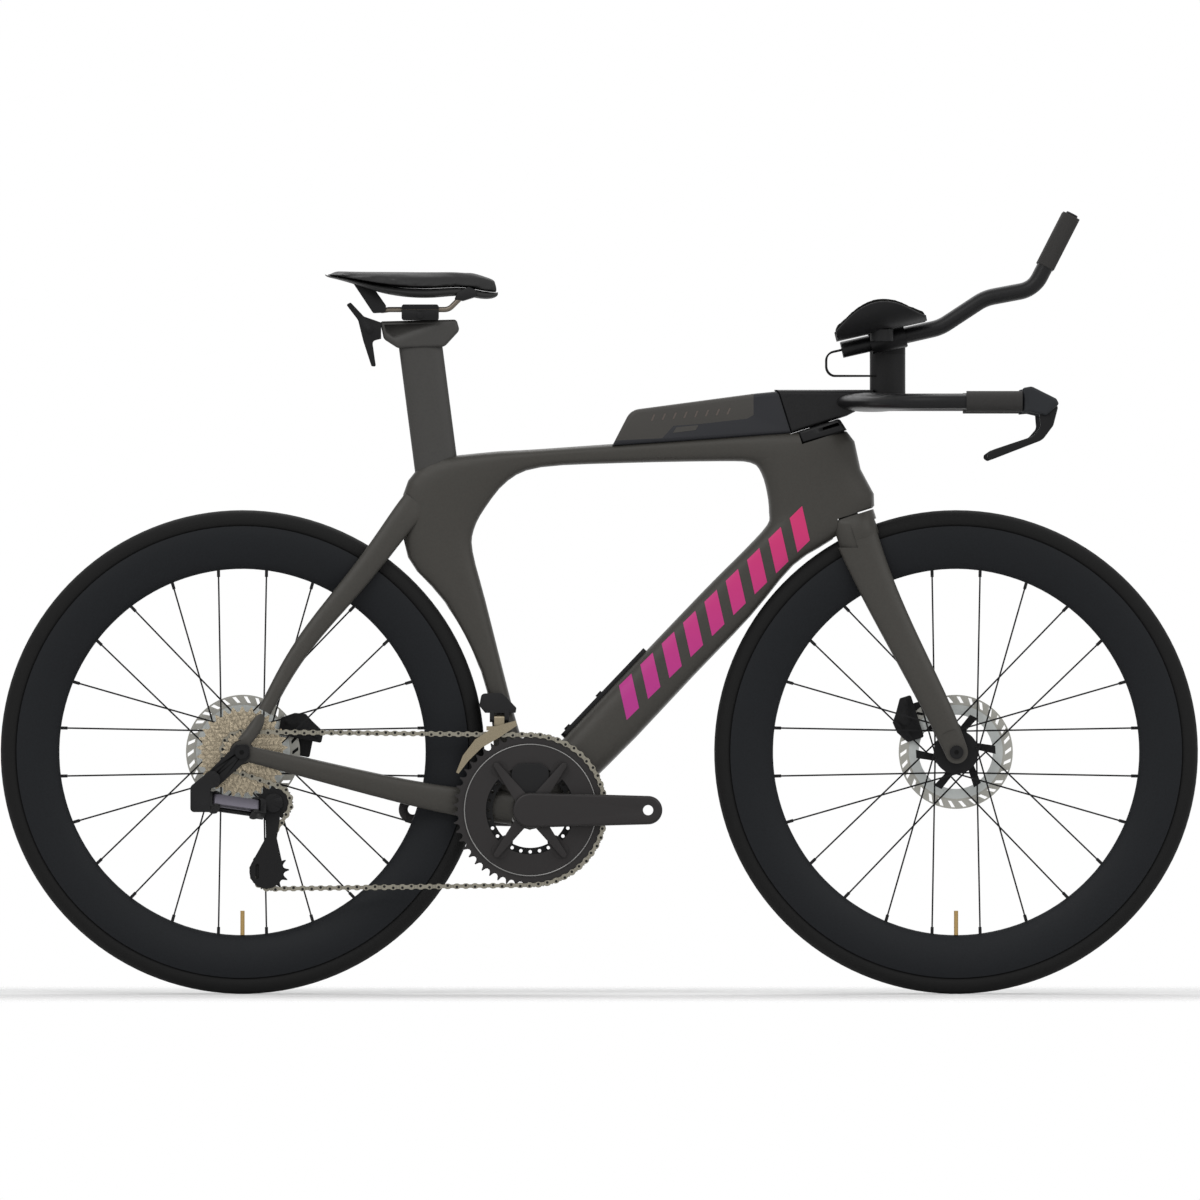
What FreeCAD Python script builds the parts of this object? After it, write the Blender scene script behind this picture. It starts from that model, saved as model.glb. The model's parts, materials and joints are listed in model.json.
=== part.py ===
import FreeCAD, Part
import math
import os

import Sketcher

# A time trial bike standing on its wheels: +X forward, +Y to the left, +Z up, drive side at -Y.
# The origin lies on the ground, midway between the axles. Lengths are millimetres, angles are degrees.

SIZES = {
    "whole bike": {
        "wheelbase": 1000, "tyre_radius": 339, "tyre_width": 28, "head_angle": 72.5, "fork_rake": 45,
        "bottom_bracket_drop": 81, "bottom_bracket_ahead": 403.3, "running_gap": 0.4, "fit_gap": 0.05,
        "overrun": 5,
    },
    "main frame": {
        "frame_reach": 480, "frame_stack": 532, "main_tube_width": 54, "shell_radius": 27,
        "shell_width": 86.5, "head_lower": 361.5, "head_upper": 476.3, "head_bore_radius": 16,
        "crown_sweep_radius": 31, "headset_sweep_radius": 46.5, "wheel_gap": 13, "wheel_side_gap": 2.4,
        "pocket_depth": 132, "boss_spacing": 64, "boss_radius": 2.5, "boss_depth": 12, "boss_head_radius": 5,
    },
    "stays": {
        "rear_spacing": 142, "stay_width": 14, "dropout_radius": 16, "dropout_width": 9,
        "axle_radius": 6, "front_spacing": 100,
    },
    "derailleur hanger": {
        "hanger_width": 7, "hanger_back": 42, "hanger_down": 38, "hanger_radius": 11, "hanger_bolt_radius": 5,
    },
    "axles": {
        "axle_head_radius": 9.5, "axle_head_width": 3,
    },
    "bottom bracket": {
        "spindle_radius": 12, "cup_radius": 20.5, "cup_flange_radius": 23, "cup_flange_width": 3,
        "cup_depth": 12,
    },
    "headset": {
        "bearing_radius": 20.9, "bearing_height": 7, "steerer_radius": 14.3, "cover_half_width": 25.5,
        "cover_back": 31, "cover_front": 34.5, "cover_height": 18.5, "cover_edge": 5,
    },
    "fork": {
        "crown_front": 36.5, "crown_half_width": 27, "leg_width": 15, "leg_depth": 52,
        "tunnel_half_width": 19, "tunnel_gap": 7,
    },
    "stem": {
        "stem_radius": 45.5, "stem_half_width": 23, "stem_top": 846.5, "stem_front": 40, "stem_edge": 7,
    },
    "base bar": {
        "bar_half_span": 200, "bar_centre_chord": 96, "bar_tip_chord": 32, "bar_thickness": 27,
        "bar_tip_thickness": 22, "bar_centre_ahead": 384, "bar_height": 829, "bar_tip_ahead": 590,
        "tape_length": 78, "tape_wall": 3.5,
    },
    "brake levers": {
        "lever_body_length": 62, "lever_body_width": 24, "lever_width": 11, "lever_length": 96,
        "lever_pin_radius": 2.5,
    },
    "aerobars": {
        "riser_chord": 50, "riser_width": 30, "riser_height": 54, "riser_ahead": 404, "clamp_length": 50,
        "clamp_wall": 5, "extension_radius": 11.1, "extension_half_gap": 52, "extension_slope": 12.5,
        "extension_ahead": 340, "extension_height": 902.5, "extension_reach": 321,
        "bridge_height": 16, "grip_radius": 13, "button_radius": 8.5, "button_travel": 1.2, "button_proud": 3,
        "cup_ahead": 395, "cup_height": 932, "cup_foot_radius": 16, "cup_foot_height": 16,
        "cup_half_gap": 95, "trough_radius": 56, "cup_wall": 3.5, "pad_wall": 11, "cup_length": 128,
    },
    "seatpost": {
        "post_chord": 61, "post_width": 22, "seat_angle": 82.6, "post_base_ahead": -230,
        "post_base_height": 750, "post_rise": 160, "post_insert": 100, "post_head_length": 104,
        "post_head_width": 30,
    },
    "saddle": {
        "saddle_length": 242, "saddle_width": 138, "saddle_top": 1010, "saddle_rear_ahead": -384,
        "seam_gap": 0.3, "rail_radius": 3.5, "rail_half_gap": 22, "rail_height": 959, "rail_clamp_length": 52,
        "rail_clamp_height": 22, "rail_clamp_half_width": 28, "jaw_slot": 1, "clamp_bolt_radius": 4.5,
        "clamp_bolt_height": 3, "carrier_half_width": 14, "carrier_hole_radius": 2.5,
    },
    "bottle rail": {
        "rail_length": 168, "rail_width": 15, "rail_rise": 6, "rail_lead": 14,
    },
    "storage box": {
        "box_length": 252, "box_ahead": 20, "box_base": 772, "box_width": 42, "box_edge": 6, "box_gap": 0.3,
    },
    "wheels": {
        "rim_radius": 316.5, "rim_depth": 60, "rim_width": 28, "rim_bed_depth": 9,
        "rim_lip": 2.6, "tyre_wall": 3.5, "spoke_groups": 8, "spoke_width": 2.3, "spoke_thickness": 1.1,
        "nipple_radius": 2.2, "nipple_length": 11, "nipple_seat": 2, "valve_radius": 3, "valve_length": 34,
    },
    "hubs": {
        "hub_barrel_radius": 13, "flange_radius": 31, "flange_width": 3.2, "front_flange_offset": 22,
        "rear_right_flange_offset": 13, "rear_left_flange_offset": 30, "end_cap_radius": 10,
        "hub_end_width": 9, "spoke_seat_radius": 29, "spoke_lift": 1.3, "freehub_start": 16,
    },
    "rotors": {
        "rotor_radius": 80, "rotor_band": 14, "rotor_thickness": 1.8, "rotor_slots": 30, "rotor_arms": 6,
        "cooling_ring": 14, "cooling_ring_lap": 1, "cooling_ring_thickness": 1.4,
        "rotor_inset": 15.3, "rotor_bore_radius": 17, "rotor_boss_width": 10, "carrier_ring": 10,
    },
    "brake calipers": {
        "caliper_length": 62, "caliper_depth": 36, "caliper_inner": 8.5, "caliper_outer": 13,
        "caliper_slot": 2.8, "caliper_edge": 3, "front_caliper_back": 71, "front_caliper_up": 45,
        "rear_caliper_ahead": 83, "rear_caliper_up": 36, "caliper_corner": 3, "caliper_rim": 1,
        "piston_cap_radius": 8, "piston_cap_height": 1.2, "caliper_bolt_radius": 3.5,
    },
    "transmission": {
        "pitch": 12.7, "roller_radius": 3.85, "tooth_height": 3.1, "tooth_tip": 1.5, "tooth_width": 1.7,
        "seat_gap": 0.13, "ring_teeth": 52, "inner_ring_teeth": 36, "ring_offset": 47.5, "ring_spacing": 7,
        "cog_spacing": 3.55, "cog_width": 1.5, "drive_cog": 14, "pulley_teeth": 12, "freehub_radius": 17,
        "link_gap": 2.3, "plate_thickness": 0.75, "plate_half_height": 3.9, "plate_gap": 0.05,
    },
    "cranks": {
        "crank_length": 165, "crank_inner": 62, "crank_thickness": 13, "crank_root_radius": 24.5,
        "crank_end_radius": 20, "crank_edge": 4, "pedal_thread_radius": 7.14, "spider_radius": 55,
        "spider_angle": 53, "spider_reach": 78, "spider_root": 11, "spider_tip": 4, "spider_inner": 53.8,
        "bolt_radius": 4.2, "tab_radius": 9, "dish_radius": 92, "dish_bore": 62, "dish_depth": 3.5,
        "dish_wall": 2, "inner_ring_bore": 53, "ring_hole_radius": 2.4, "ring_hole_reach": 58.5,
        "ring_holes": 28, "pod_thickness": 7,
    },
    "rear derailleur": {
        "guide_ahead": 44, "guide_drop": 71, "cage_length": 96, "cage_gap": 8.5, "cage_plate": 2,
        "cage_half_width": 12, "cage_waist": 7.5, "cage_foot_back": 4, "cage_foot_radius": 24,
        "cage_window_back": 17, "cage_window_half": 8, "cage_window_radius": 2.5, "pulley_bore": 3,
        "knuckle_radius": 13, "knuckle_length": 15, "mount_width": 12, "mount_radius": 12,
        "mount_pin_back": 36,
        "mount_pin_down": 67, "mount_pin_side": 88, "link_length": 58, "link_lean": 16, "link_tilt": 60,
        "link_spacing": 13, "link_height": 16, "link_radius": 4.5, "link_pin_radius": 2.5,
        "lug_radius": 6, "lug_height": 3,
        "web_depth": 8,
    },
    "front derailleur": {
        "changer_inner_radius": 110.5, "changer_outer_radius": 127, "changer_gap": 11, "changer_plate": 1.2,
        "changer_bridge": 3, "changer_pin_radius": 2, "changer_knuckle_radius": 5,
        "changer_knuckle_length": 14, "changer_pin_ahead": -140, "changer_pin_side": 41,
        "changer_pin_height": 386, "changer_lug": 6, "changer_half_width": 14, "changer_side": 31.5,
        "changer_unit": 50,
    },
    "wires": {
        "shift_wire_radius": 1.3,
    },
}

COG_TEETH = (11, 12, 13, 14, 15, 16, 17, 19, 21, 24, 27, 30)

Vector = FreeCAD.Vector
SIDE = Vector(0, 1, 0)
UP = Vector(0, 0, 1)
AHEAD = Vector(1, 0, 0)
ORIGIN = Vector(0, 0, 0)
FULL_TURN = 360
ROUNDED_POWER_SHARE = 3.0
OVAL_POWER_SHARE = 2.2
SECTION_POINTS = 16
TOLERANCE = 0.001

document = FreeCAD.newDocument("time_trial_bike")
sheet = document.addObject("Spreadsheet::Sheet", "dims")


class Size(float):
    """A length that also knows the sheet expression it came from."""

    def __new__(cls, value, text):
        size = float.__new__(cls, value)
        size.text = text
        return size

    def __add__(self, other):
        return Size(float(self) + float(other), "(%s + %s)" % (self.text, text_of(other)))

    def __radd__(self, other):
        return Size(float(other) + float(self), "(%s + %s)" % (text_of(other), self.text))

    def __sub__(self, other):
        return Size(float(self) - float(other), "(%s - %s)" % (self.text, text_of(other)))

    def __rsub__(self, other):
        return Size(float(other) - float(self), "(%s - %s)" % (text_of(other), self.text))

    def __mul__(self, other):
        return Size(float(self) * float(other), "(%s * %s)" % (self.text, text_of(other)))

    def __rmul__(self, other):
        return self * other

    def __truediv__(self, other):
        return Size(float(self) / float(other), "(%s / %s)" % (self.text, text_of(other)))

    def __neg__(self):
        return Size(-float(self), "(-%s)" % self.text)


def text_of(value):
    return value.text if isinstance(value, Size) else repr(float(value))


class Dims:
    """The driving dimensions by name."""


def fill_sheet():
    dims = Dims()
    row = 1
    for group, values in SIZES.items():
        sheet.set("A%d" % row, group)
        row += 1
        for name, value in values.items():
            sheet.set("A%d" % row, name)
            sheet.set("B%d" % row, str(value))
            sheet.setAlias("B%d" % row, name)
            setattr(dims, name, Size(value, "dims." + name))
            row += 1
    document.recompute()
    return dims


d = fill_sheet()
sub_parts = []


def keep(item, label):
    """Marks an object of the document as a sub-part, which is written to a file of its own."""
    item.Label = label
    sub_parts.append(item)
    return item


def feature(label, shape):
    item = document.addObject("Part::Feature", label)
    item.Shape = shape
    return keep(item, label)


def bind(item, name, size):
    if isinstance(size, Size):
        item.setExpression(name, size.text)
    else:
        setattr(item, name, float(size))


def add_body(label):
    return document.addObject("PartDesign::Body", label)


def sketch_on(body, role, name):
    sketch = body.newObject("Sketcher::SketchObject", name)
    planes = [item for item in body.Origin.OriginFeatures if item.Role == role]
    sketch.AttachmentSupport = [(planes[0], "")]
    sketch.MapMode = "FlatFace"
    return sketch


def pin_point(sketch, geometry, position, point):
    """Holds one sketch point at its distances from the origin."""
    for kind, value in zip(("DistanceX", "DistanceY"), point):
        if float(value) < 0:
            rule = Sketcher.Constraint(kind, geometry, position, -1, 1, -float(value))
            held = -value if isinstance(value, Size) else -float(value)
        else:
            rule = Sketcher.Constraint(kind, -1, 1, geometry, position, float(value))
            held = value
        index = sketch.addConstraint(rule)
        if isinstance(held, Size):
            sketch.setExpression("Constraints[%d]" % index, held.text)


def draw_polygon(sketch, points):
    first = sketch.GeometryCount
    count = len(points)
    for index, start in enumerate(points):
        end = points[(index + 1) % count]
        ends = [Vector(float(point[0]), float(point[1])) for point in (start, end)]
        sketch.addGeometry(Part.LineSegment(*ends))
    for index in range(count):
        following = first + (index + 1) % count
        sketch.addConstraint(Sketcher.Constraint("Coincident", first + index, 2, following, 1))
    for index, point in enumerate(points):
        pin_point(sketch, first + index, 1, point)


def draw_circle(sketch, centre, radius):
    middle = Vector(float(centre[0]), float(centre[1]))
    index = sketch.addGeometry(Part.Circle(middle, UP, float(radius)))
    pin_point(sketch, index, 3, centre)
    rule = sketch.addConstraint(Sketcher.Constraint("Radius", index, float(radius)))
    if isinstance(radius, Size):
        sketch.setExpression("Constraints[%d]" % rule, radius.text)


def turned_body(label, outline, place):
    """A piece turned about an axis along Y: the outline is a list of (radius, y)."""
    body = add_body(label)
    sketch = sketch_on(body, "XY_Plane", label + "_outline")
    draw_polygon(sketch, outline)
    turn = body.newObject("PartDesign::Revolution", label + "_turn")
    turn.Profile = sketch
    turn.ReferenceAxis = (sketch, ["V_Axis"])
    turn.Angle = FULL_TURN
    body.Placement.Base = place
    return keep(body, label)


def pad_outline(body, label, outline, length):
    sketch = sketch_on(body, "XZ_Plane", label + "_outline")
    draw_polygon(sketch, outline)
    pad = body.newObject("PartDesign::Pad", label + "_pad")
    pad.Profile = sketch
    pad.SideType = "Symmetric"
    bind(pad, "Length", length)
    return pad


def drill(body, label, holes):
    """Cuts round holes right through a padded plate, along Y."""
    sketch = sketch_on(body, "XZ_Plane", label + "_holes")
    for centre, radius in holes:
        draw_circle(sketch, centre, radius)
    pocket = body.newObject("PartDesign::Pocket", label + "_pocket")
    pocket.Profile = sketch
    pocket.Type = "ThroughAll"
    pocket.SideType = "Symmetric"
    return pocket


def repeat_round(body, label, source, count):
    pattern = body.newObject("PartDesign::PolarPattern", label + "_pattern")
    pattern.Originals = [source]
    axes = [item for item in body.Origin.OriginFeatures if item.Role == "Y_Axis"]
    pattern.Axis = (axes[0], [""])
    pattern.Angle = FULL_TURN
    pattern.Occurrences = int(count)
    body.Tip = pattern
    return pattern


def spot(ahead, side, height):
    return Vector(float(ahead), float(side), float(height))


def along_y(radius, start, end, place):
    """A cylinder along Y between two side places, through a place in the side view."""
    base = spot(place.x, min(float(start), float(end)), place.z)
    return Part.makeCylinder(float(radius), abs(float(end) - float(start)), base, SIDE)


def section(centre, first, second, half_first, half_second, power):
    """A closed rounded section, round for a power of 2 and boxier above it."""
    points = []
    for index in range(SECTION_POINTS):
        angle = 2 * math.pi * index / SECTION_POINTS
        across = math.copysign(abs(math.cos(angle)) ** (2 / power), math.cos(angle))
        along = math.copysign(abs(math.sin(angle)) ** (2 / power), math.sin(angle))
        points.append(centre + first * (float(half_first) * across) + second * (float(half_second) * along))
    curve = Part.BSplineCurve()
    curve.interpolate(points, PeriodicFlag=True)
    return Part.Wire([curve.toShape()])


def loft(sections):
    return Part.makeLoft(sections, True)


def rounded_outline(points, radii):
    """A closed outline in the side view with each corner rounded by its radius."""
    count = len(points)
    corners = []
    for index, point in enumerate(points):
        before = (points[index - 1] - point).normalize()
        after = (points[(index + 1) % count] - point).normalize()
        radius = float(radii[index])
        if radius == 0:
            corners.append((point, None, point))
            continue
        half = before.getAngle(after) / 2
        reach = radius / math.tan(half)
        middle = (before + after).normalize() * (radius / math.sin(half) - radius)
        corners.append((point + before * reach, point + middle, point + after * reach))
    edges = []
    for index, (start, middle, end) in enumerate(corners):
        if middle is not None:
            edges.append(Part.Arc(start, middle, end).toShape())
        following = corners[(index + 1) % count][0]
        if end.distanceToPoint(following) > 0:
            edges.append(Part.LineSegment(end, following).toShape())
    return Part.Face(Part.Wire(edges))


def slab(points, radii, half_width, middle=0):
    """A side-view outline drawn out sideways to a half width each way."""
    face = rounded_outline(points, radii)
    face.translate(SIDE * (float(middle) - float(half_width)))
    return face.extrude(SIDE * (2 * float(half_width)))


def soften(shape, radius):
    """Rounds the rim edges that lie in the two flat side faces of a slab."""
    box = shape.BoundBox
    rims = []
    for edge in shape.Edges:
        limits = edge.BoundBox
        flat = limits.YLength < TOLERANCE
        outer = min(abs(limits.YMin - box.YMin), abs(limits.YMax - box.YMax)) < TOLERANCE
        if flat and outer:
            rims.append(edge)
    return shape.makeFillet(float(radius), rims)


def mirrored(shape):
    return shape.mirror(ORIGIN, SIDE)


# Places that many pieces share.
REAR = spot(-d.wheelbase / 2, 0, d.tyre_radius)
FRONT = spot(d.wheelbase / 2, 0, d.tyre_radius)
CRANK = spot(-d.wheelbase / 2 + d.bottom_bracket_ahead, 0, d.tyre_radius - d.bottom_bracket_drop)
HEAD_TILT = math.radians(d.head_angle)
STEER_UP = Vector(-math.cos(HEAD_TILT), 0, math.sin(HEAD_TILT))
STEER_AHEAD = Vector(math.sin(HEAD_TILT), 0, math.cos(HEAD_TILT))
STEER_FOOT = FRONT - STEER_AHEAD * float(d.fork_rake)


def steer(along, ahead=0, side=0):
    """A place in the steering frame: up the axis, ahead of it and to the side."""
    return STEER_FOOT + STEER_UP * float(along) + STEER_AHEAD * float(ahead) + SIDE * float(side)


def steer_cylinder(radius, start, end):
    return Part.makeCylinder(float(radius), float(end) - float(start), steer(start), STEER_UP)


def frame_place(ahead_share, up_share):
    """A place in the side view of the frame, measured from the crank axis."""
    return CRANK + AHEAD * (float(d.frame_reach) * ahead_share) + UP * (float(d.frame_stack) * up_share)


# Stations round the frame's main triangle, from the crank shell up the down tube, back along the top
# tube and down the seat tube: the inner point, the outer point and the width.
FRAME_RING_SHARES = (
    (0.026, 0.120, 0.000, -0.053, 1.30),
    (0.118, 0.209, 0.226, 0.117, 1.11),
    (0.368, 0.447, 0.476, 0.353, 0.93),
    (0.531, 0.600, 0.643, 0.511, 0.89),
    (0.629, 0.688, 0.768, 0.645, 0.96),
    (0.691, 0.750, 0.881, 0.712, 1.04),
    (0.697, 0.782, 1.004, 0.801, 1.06),
    (0.691, 0.835, 0.964, 0.897, 1.06),
    (0.674, 0.887, 0.924, 0.996, 1.04),
    (0.643, 0.914, 0.764, 0.998, 0.93),
    (0.545, 0.918, 0.539, 0.984, 0.78),
    (0.262, 0.913, 0.258, 0.965, 0.74),
    (0.031, 0.902, 0.022, 0.950, 0.70),
    (-0.065, 0.867, -0.142, 0.940, 0.67),
    (-0.132, 0.795, -0.299, 0.915, 0.65),
    (-0.165, 0.737, -0.371, 0.831, 0.65),
    (-0.168, 0.680, -0.357, 0.665, 0.65),
    (-0.132, 0.555, -0.249, 0.547, 0.63),
    (-0.076, 0.355, -0.144, 0.365, 0.65),
    (-0.032, 0.207, -0.111, 0.214, 0.78),
    (0.004, 0.139, -0.103, 0.064, 1.04),
)
RING_POWER_SHARE = 2.8
RING_STEPS = 3

# Stations down a seatstay, from the frame's seat cluster to the axle: how far back, how far up and how far
# out, as shares of the run from cluster to axle, and the depth and width as shares of the stay width.
SEATSTAY_SHARES = (
    (0.00, 1.00, 0.11, 3.0, 1.1),
    (0.16, 0.86, 0.27, 2.5, 1.05),
    (0.30, 0.73, 0.35, 2.3, 1.0),
    (0.52, 0.545, 0.47, 2.0, 0.95),
    (0.79, 0.27, 0.73, 1.5, 0.9),
    (0.99, 0.04, 1.00, 1.35, 0.85),
)
CLUSTER_SHARES = (-0.33, 0.81)
# Stations back along a chainstay, from the crank shell to the axle, in the same way.
CHAINSTAY_SHARES = (
    (0.06, 0.04, 0.35, 3.4, 1.5),
    (0.19, 0.10, 0.355, 3.0, 1.0),
    (0.40, 0.28, 0.52, 2.5, 1.0),
    (0.65, 0.57, 0.72, 2.1, 0.95),
    (0.86, 0.83, 0.93, 1.8, 0.9),
    (0.985, 0.98, 1.00, 1.6, 0.85),
)


def stay(start, shares, side):
    """One stay, lofted through its stations from a start place to the rear axle."""
    run = REAR - start
    reach = float(d.rear_spacing) / 2 + float(d.dropout_width) / 2
    centres = []
    for along, up, out, depth, width in shares:
        height = up if run.z < 0 else 1 - up
        place = spot(start.x + run.x * along, side * reach * out, REAR.z - run.z * height)
        centres.append((place, depth, width))
    wires = []
    for index, (place, depth, width) in enumerate(centres):
        before = centres[max(index - 1, 0)][0]
        after = centres[min(index + 1, len(centres) - 1)][0]
        course = spot(after.x - before.x, 0, after.z - before.z).normalize()
        across = SIDE.cross(course)
        half_depth = depth * d.stay_width / 2
        half_width = width * d.stay_width / 2
        wires.append(section(place, across, SIDE, half_depth, half_width, OVAL_POWER_SHARE))
    return loft(wires)


def blend(before, start, end, after, share):
    """A smooth value between two stations, which also heeds the stations on either side."""
    slope_start = (end - before) / 2
    slope_end = (after - start) / 2
    cubic = 2 * start - 2 * end + slope_start + slope_end
    square = 3 * end - 3 * start - 2 * slope_start - slope_end
    return ((cubic * share + square) * share + slope_start) * share + start


def ring_section(inner_ahead, inner_up, outer_ahead, outer_up, width):
    inner = frame_place(inner_ahead, inner_up)
    outer = frame_place(outer_ahead, outer_up)
    half_depth = inner.distanceToPoint(outer) / 2
    return section((inner + outer) / 2, (outer - inner).normalize(), SIDE, half_depth,
                   width * d.main_tube_width / 2, RING_POWER_SHARE)


def frame_tubes():
    """The main triangle: a closed ring of strips between sections that follow the stations smoothly."""
    count = len(FRAME_RING_SHARES)
    wires = []
    for index in range(count):
        near = [FRAME_RING_SHARES[(index + shift) % count] for shift in (-1, 0, 1, 2)]
        for step in range(RING_STEPS):
            row = [blend(*values, step / RING_STEPS) for values in zip(*near)]
            wires.append(ring_section(*row))
    strips = []
    for index, wire in enumerate(wires):
        following = wires[(index + 1) % len(wires)]
        strips.append(Part.makeRuledSurface(wire.Edges[0], following.Edges[0], 1))
    shell = Part.makeShell(strips)
    shell.sewShape()
    solid = Part.makeSolid(shell)
    if solid.Volume < 0:
        solid.reverse()
    return solid


def dropout(side):
    inner = side * float(d.rear_spacing) / 2
    return along_y(d.dropout_radius, inner, inner + side * float(d.dropout_width), REAR)


POST_TILT = math.radians(d.seat_angle)
POST_UP = Vector(-math.cos(POST_TILT), 0, math.sin(POST_TILT))
POST_AHEAD = Vector(math.sin(POST_TILT), 0, math.cos(POST_TILT))
POST_BASE = spot(d.post_base_ahead, 0, d.post_base_height)


def post_section(along, gap):
    centre = POST_BASE + POST_UP * float(along)
    return section(centre, POST_AHEAD, SIDE, d.post_chord / 2 + gap, d.post_width / 2 + gap, OVAL_POWER_SHARE)


def crown_room(radius, top):
    """The space that the fork crown sweeps: a drum about the steering axis, open to the front."""
    low = float(top) - 3 * float(d.crown_sweep_radius)
    drum = steer_cylinder(radius, low, top)
    length = 3 * float(d.crown_sweep_radius)
    block = Part.makeBox(length, 2 * length, float(top) - low)
    turn = FreeCAD.Rotation(STEER_AHEAD, SIDE, STEER_UP, "ZXY")
    block.Placement = FreeCAD.Placement(steer(low, 0, -length), turn)
    return drum.fuse(block)


def make_frame():
    cluster = frame_place(*CLUSTER_SHARES)
    shape = frame_tubes().fuse(along_y(d.shell_radius, -d.shell_width / 2, d.shell_width / 2, CRANK))
    for side in (1, -1):
        shape = shape.fuse(stay(cluster, SEATSTAY_SHARES, side))
        shape = shape.fuse(stay(CRANK, CHAINSTAY_SHARES, side))
        shape = shape.fuse(dropout(side))
    room_edge = d.tyre_width / 2 + d.wheel_side_gap
    wheel_room = along_y(d.tyre_radius + d.wheel_gap, -room_edge, room_edge, REAR)
    bearing_end = d.head_lower + d.bearing_height
    stem_end = d.head_upper + 2 * d.stem_radius
    cuts = [
        wheel_room,
        crown_room(d.crown_sweep_radius, d.head_lower),
        steer_cylinder(d.head_bore_radius, d.head_lower - d.overrun, d.head_upper + d.fork_rake),
        steer_cylinder(d.bearing_radius + d.fit_gap, d.head_lower - d.overrun, bearing_end),
        along_y(d.cup_radius + d.fit_gap, -d.shell_width, d.shell_width, CRANK),
        along_y(d.axle_radius + d.fit_gap, -d.rear_spacing, d.rear_spacing, REAR),
        loft([post_section(-d.pocket_depth, d.running_gap), post_section(d.post_chord, d.running_gap)]),
        along_y(pitch_radius(COG_TEETH[-1]) + d.tooth_height + d.tooth_width, -d.rear_spacing / 2, 0, REAR),
        headset_room(),
        steer_cylinder(d.headset_sweep_radius, d.head_upper + d.cover_height, stem_end),
    ]
    rotor_edge = d.rear_spacing / 2 - d.rotor_inset + d.caliper_slot
    cuts.append(along_y(d.rotor_radius + d.caliper_slot, 0, rotor_edge, REAR))
    cuts.append(along_y(2 * d.dropout_radius, 0, d.rear_spacing / 2, REAR))
    edge = d.rear_spacing / 2 + d.dropout_width
    for side in (1, -1):
        cuts.append(along_y(d.hanger_back + d.hanger_down, side * edge, side * (edge + d.hanger_width), REAR))
    for tool in cuts + boss_holes():
        shape = shape.cut(tool)
    return feature("main_frame", shape)


# The down tube's upper face, which carries the bottle rail.
DOWN_TUBE_START = frame_place(FRAME_RING_SHARES[1][0], FRAME_RING_SHARES[1][1])
DOWN_TUBE_END = frame_place(FRAME_RING_SHARES[3][0], FRAME_RING_SHARES[3][1])
DOWN_TUBE_COURSE = (DOWN_TUBE_END - DOWN_TUBE_START).normalize()
DOWN_TUBE_OUT = DOWN_TUBE_COURSE.cross(SIDE)
UPRIGHT_SHARE = 0.9
RAIL_ROUND_SHARE = 0.4


def boss_places():
    return [DOWN_TUBE_START, DOWN_TUBE_START + DOWN_TUBE_COURSE * float(d.boss_spacing)]


def boss_holes():
    depth = float(d.boss_depth)
    radius = float(d.boss_radius + d.fit_gap)
    holes = []
    for place in boss_places():
        holes.append(Part.makeCylinder(radius, 2 * depth, place - DOWN_TUBE_OUT * depth, DOWN_TUBE_OUT))
    return holes


def make_bottle_rail(frame_shape):
    """The rail on the down tube and its two bolts."""
    turn = FreeCAD.Rotation(DOWN_TUBE_COURSE, SIDE, DOWN_TUBE_OUT, "ZXY")
    rise = float(d.rail_rise)
    block = Part.makeBox(float(d.rail_length), float(d.rail_width), 2 * rise)
    corner = DOWN_TUBE_START - DOWN_TUBE_COURSE * float(d.rail_lead)
    corner = corner - SIDE * (float(d.rail_width) / 2) - DOWN_TUBE_OUT * rise
    block.Placement = FreeCAD.Placement(corner, turn)
    uprights = []
    for edge in block.Edges:
        course = (edge.lastVertex().Point - edge.firstVertex().Point).normalize()
        if abs(course.dot(DOWN_TUBE_OUT)) > UPRIGHT_SHARE:
            uprights.append(edge)
    block = block.makeFillet(float(d.rail_width) * RAIL_ROUND_SHARE, uprights)
    bolts = []
    for place in boss_places():
        block = block.cut(Part.makeCylinder(float(d.boss_radius) + float(d.fit_gap), 4 * rise,
                                            place - DOWN_TUBE_OUT * (2 * rise), DOWN_TUBE_OUT))
        shank = Part.makeCylinder(float(d.boss_radius), float(d.boss_depth) + rise - float(d.overrun) / 2,
                                  place - DOWN_TUBE_OUT * (float(d.boss_depth) - float(d.overrun) / 2),
                                  DOWN_TUBE_OUT)
        head = Part.makeCylinder(float(d.boss_head_radius), float(d.boss_radius),
                                 place + DOWN_TUBE_OUT * rise, DOWN_TUBE_OUT)
        bolts.append(shank.fuse(head))
    feature("bottle_rail", Part.makeCompound([block.cut(frame_shape)] + bolts))


def headset_room():
    """The seat for the headset cover, cut square to the steering axis, and the upper bearing's bore."""
    length = 4 * float(d.cover_front)
    block = Part.makeBox(length, length, length)
    turn = FreeCAD.Rotation(STEER_AHEAD, SIDE, STEER_UP, "ZXY")
    start = steer(d.head_upper, -d.cover_back - d.box_gap, -length / 2)
    block.Placement = FreeCAD.Placement(start, turn)
    bore = steer_cylinder(d.bearing_radius + d.fit_gap, d.head_upper - d.bearing_height,
                          d.head_upper + d.overrun)
    return block.fuse(bore)


def steer_slab(corners, radii, half_width):
    """A slab whose side outline is given as (along, ahead) in the steering frame."""
    return slab([steer(along, ahead) for along, ahead in corners], radii, half_width)


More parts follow.
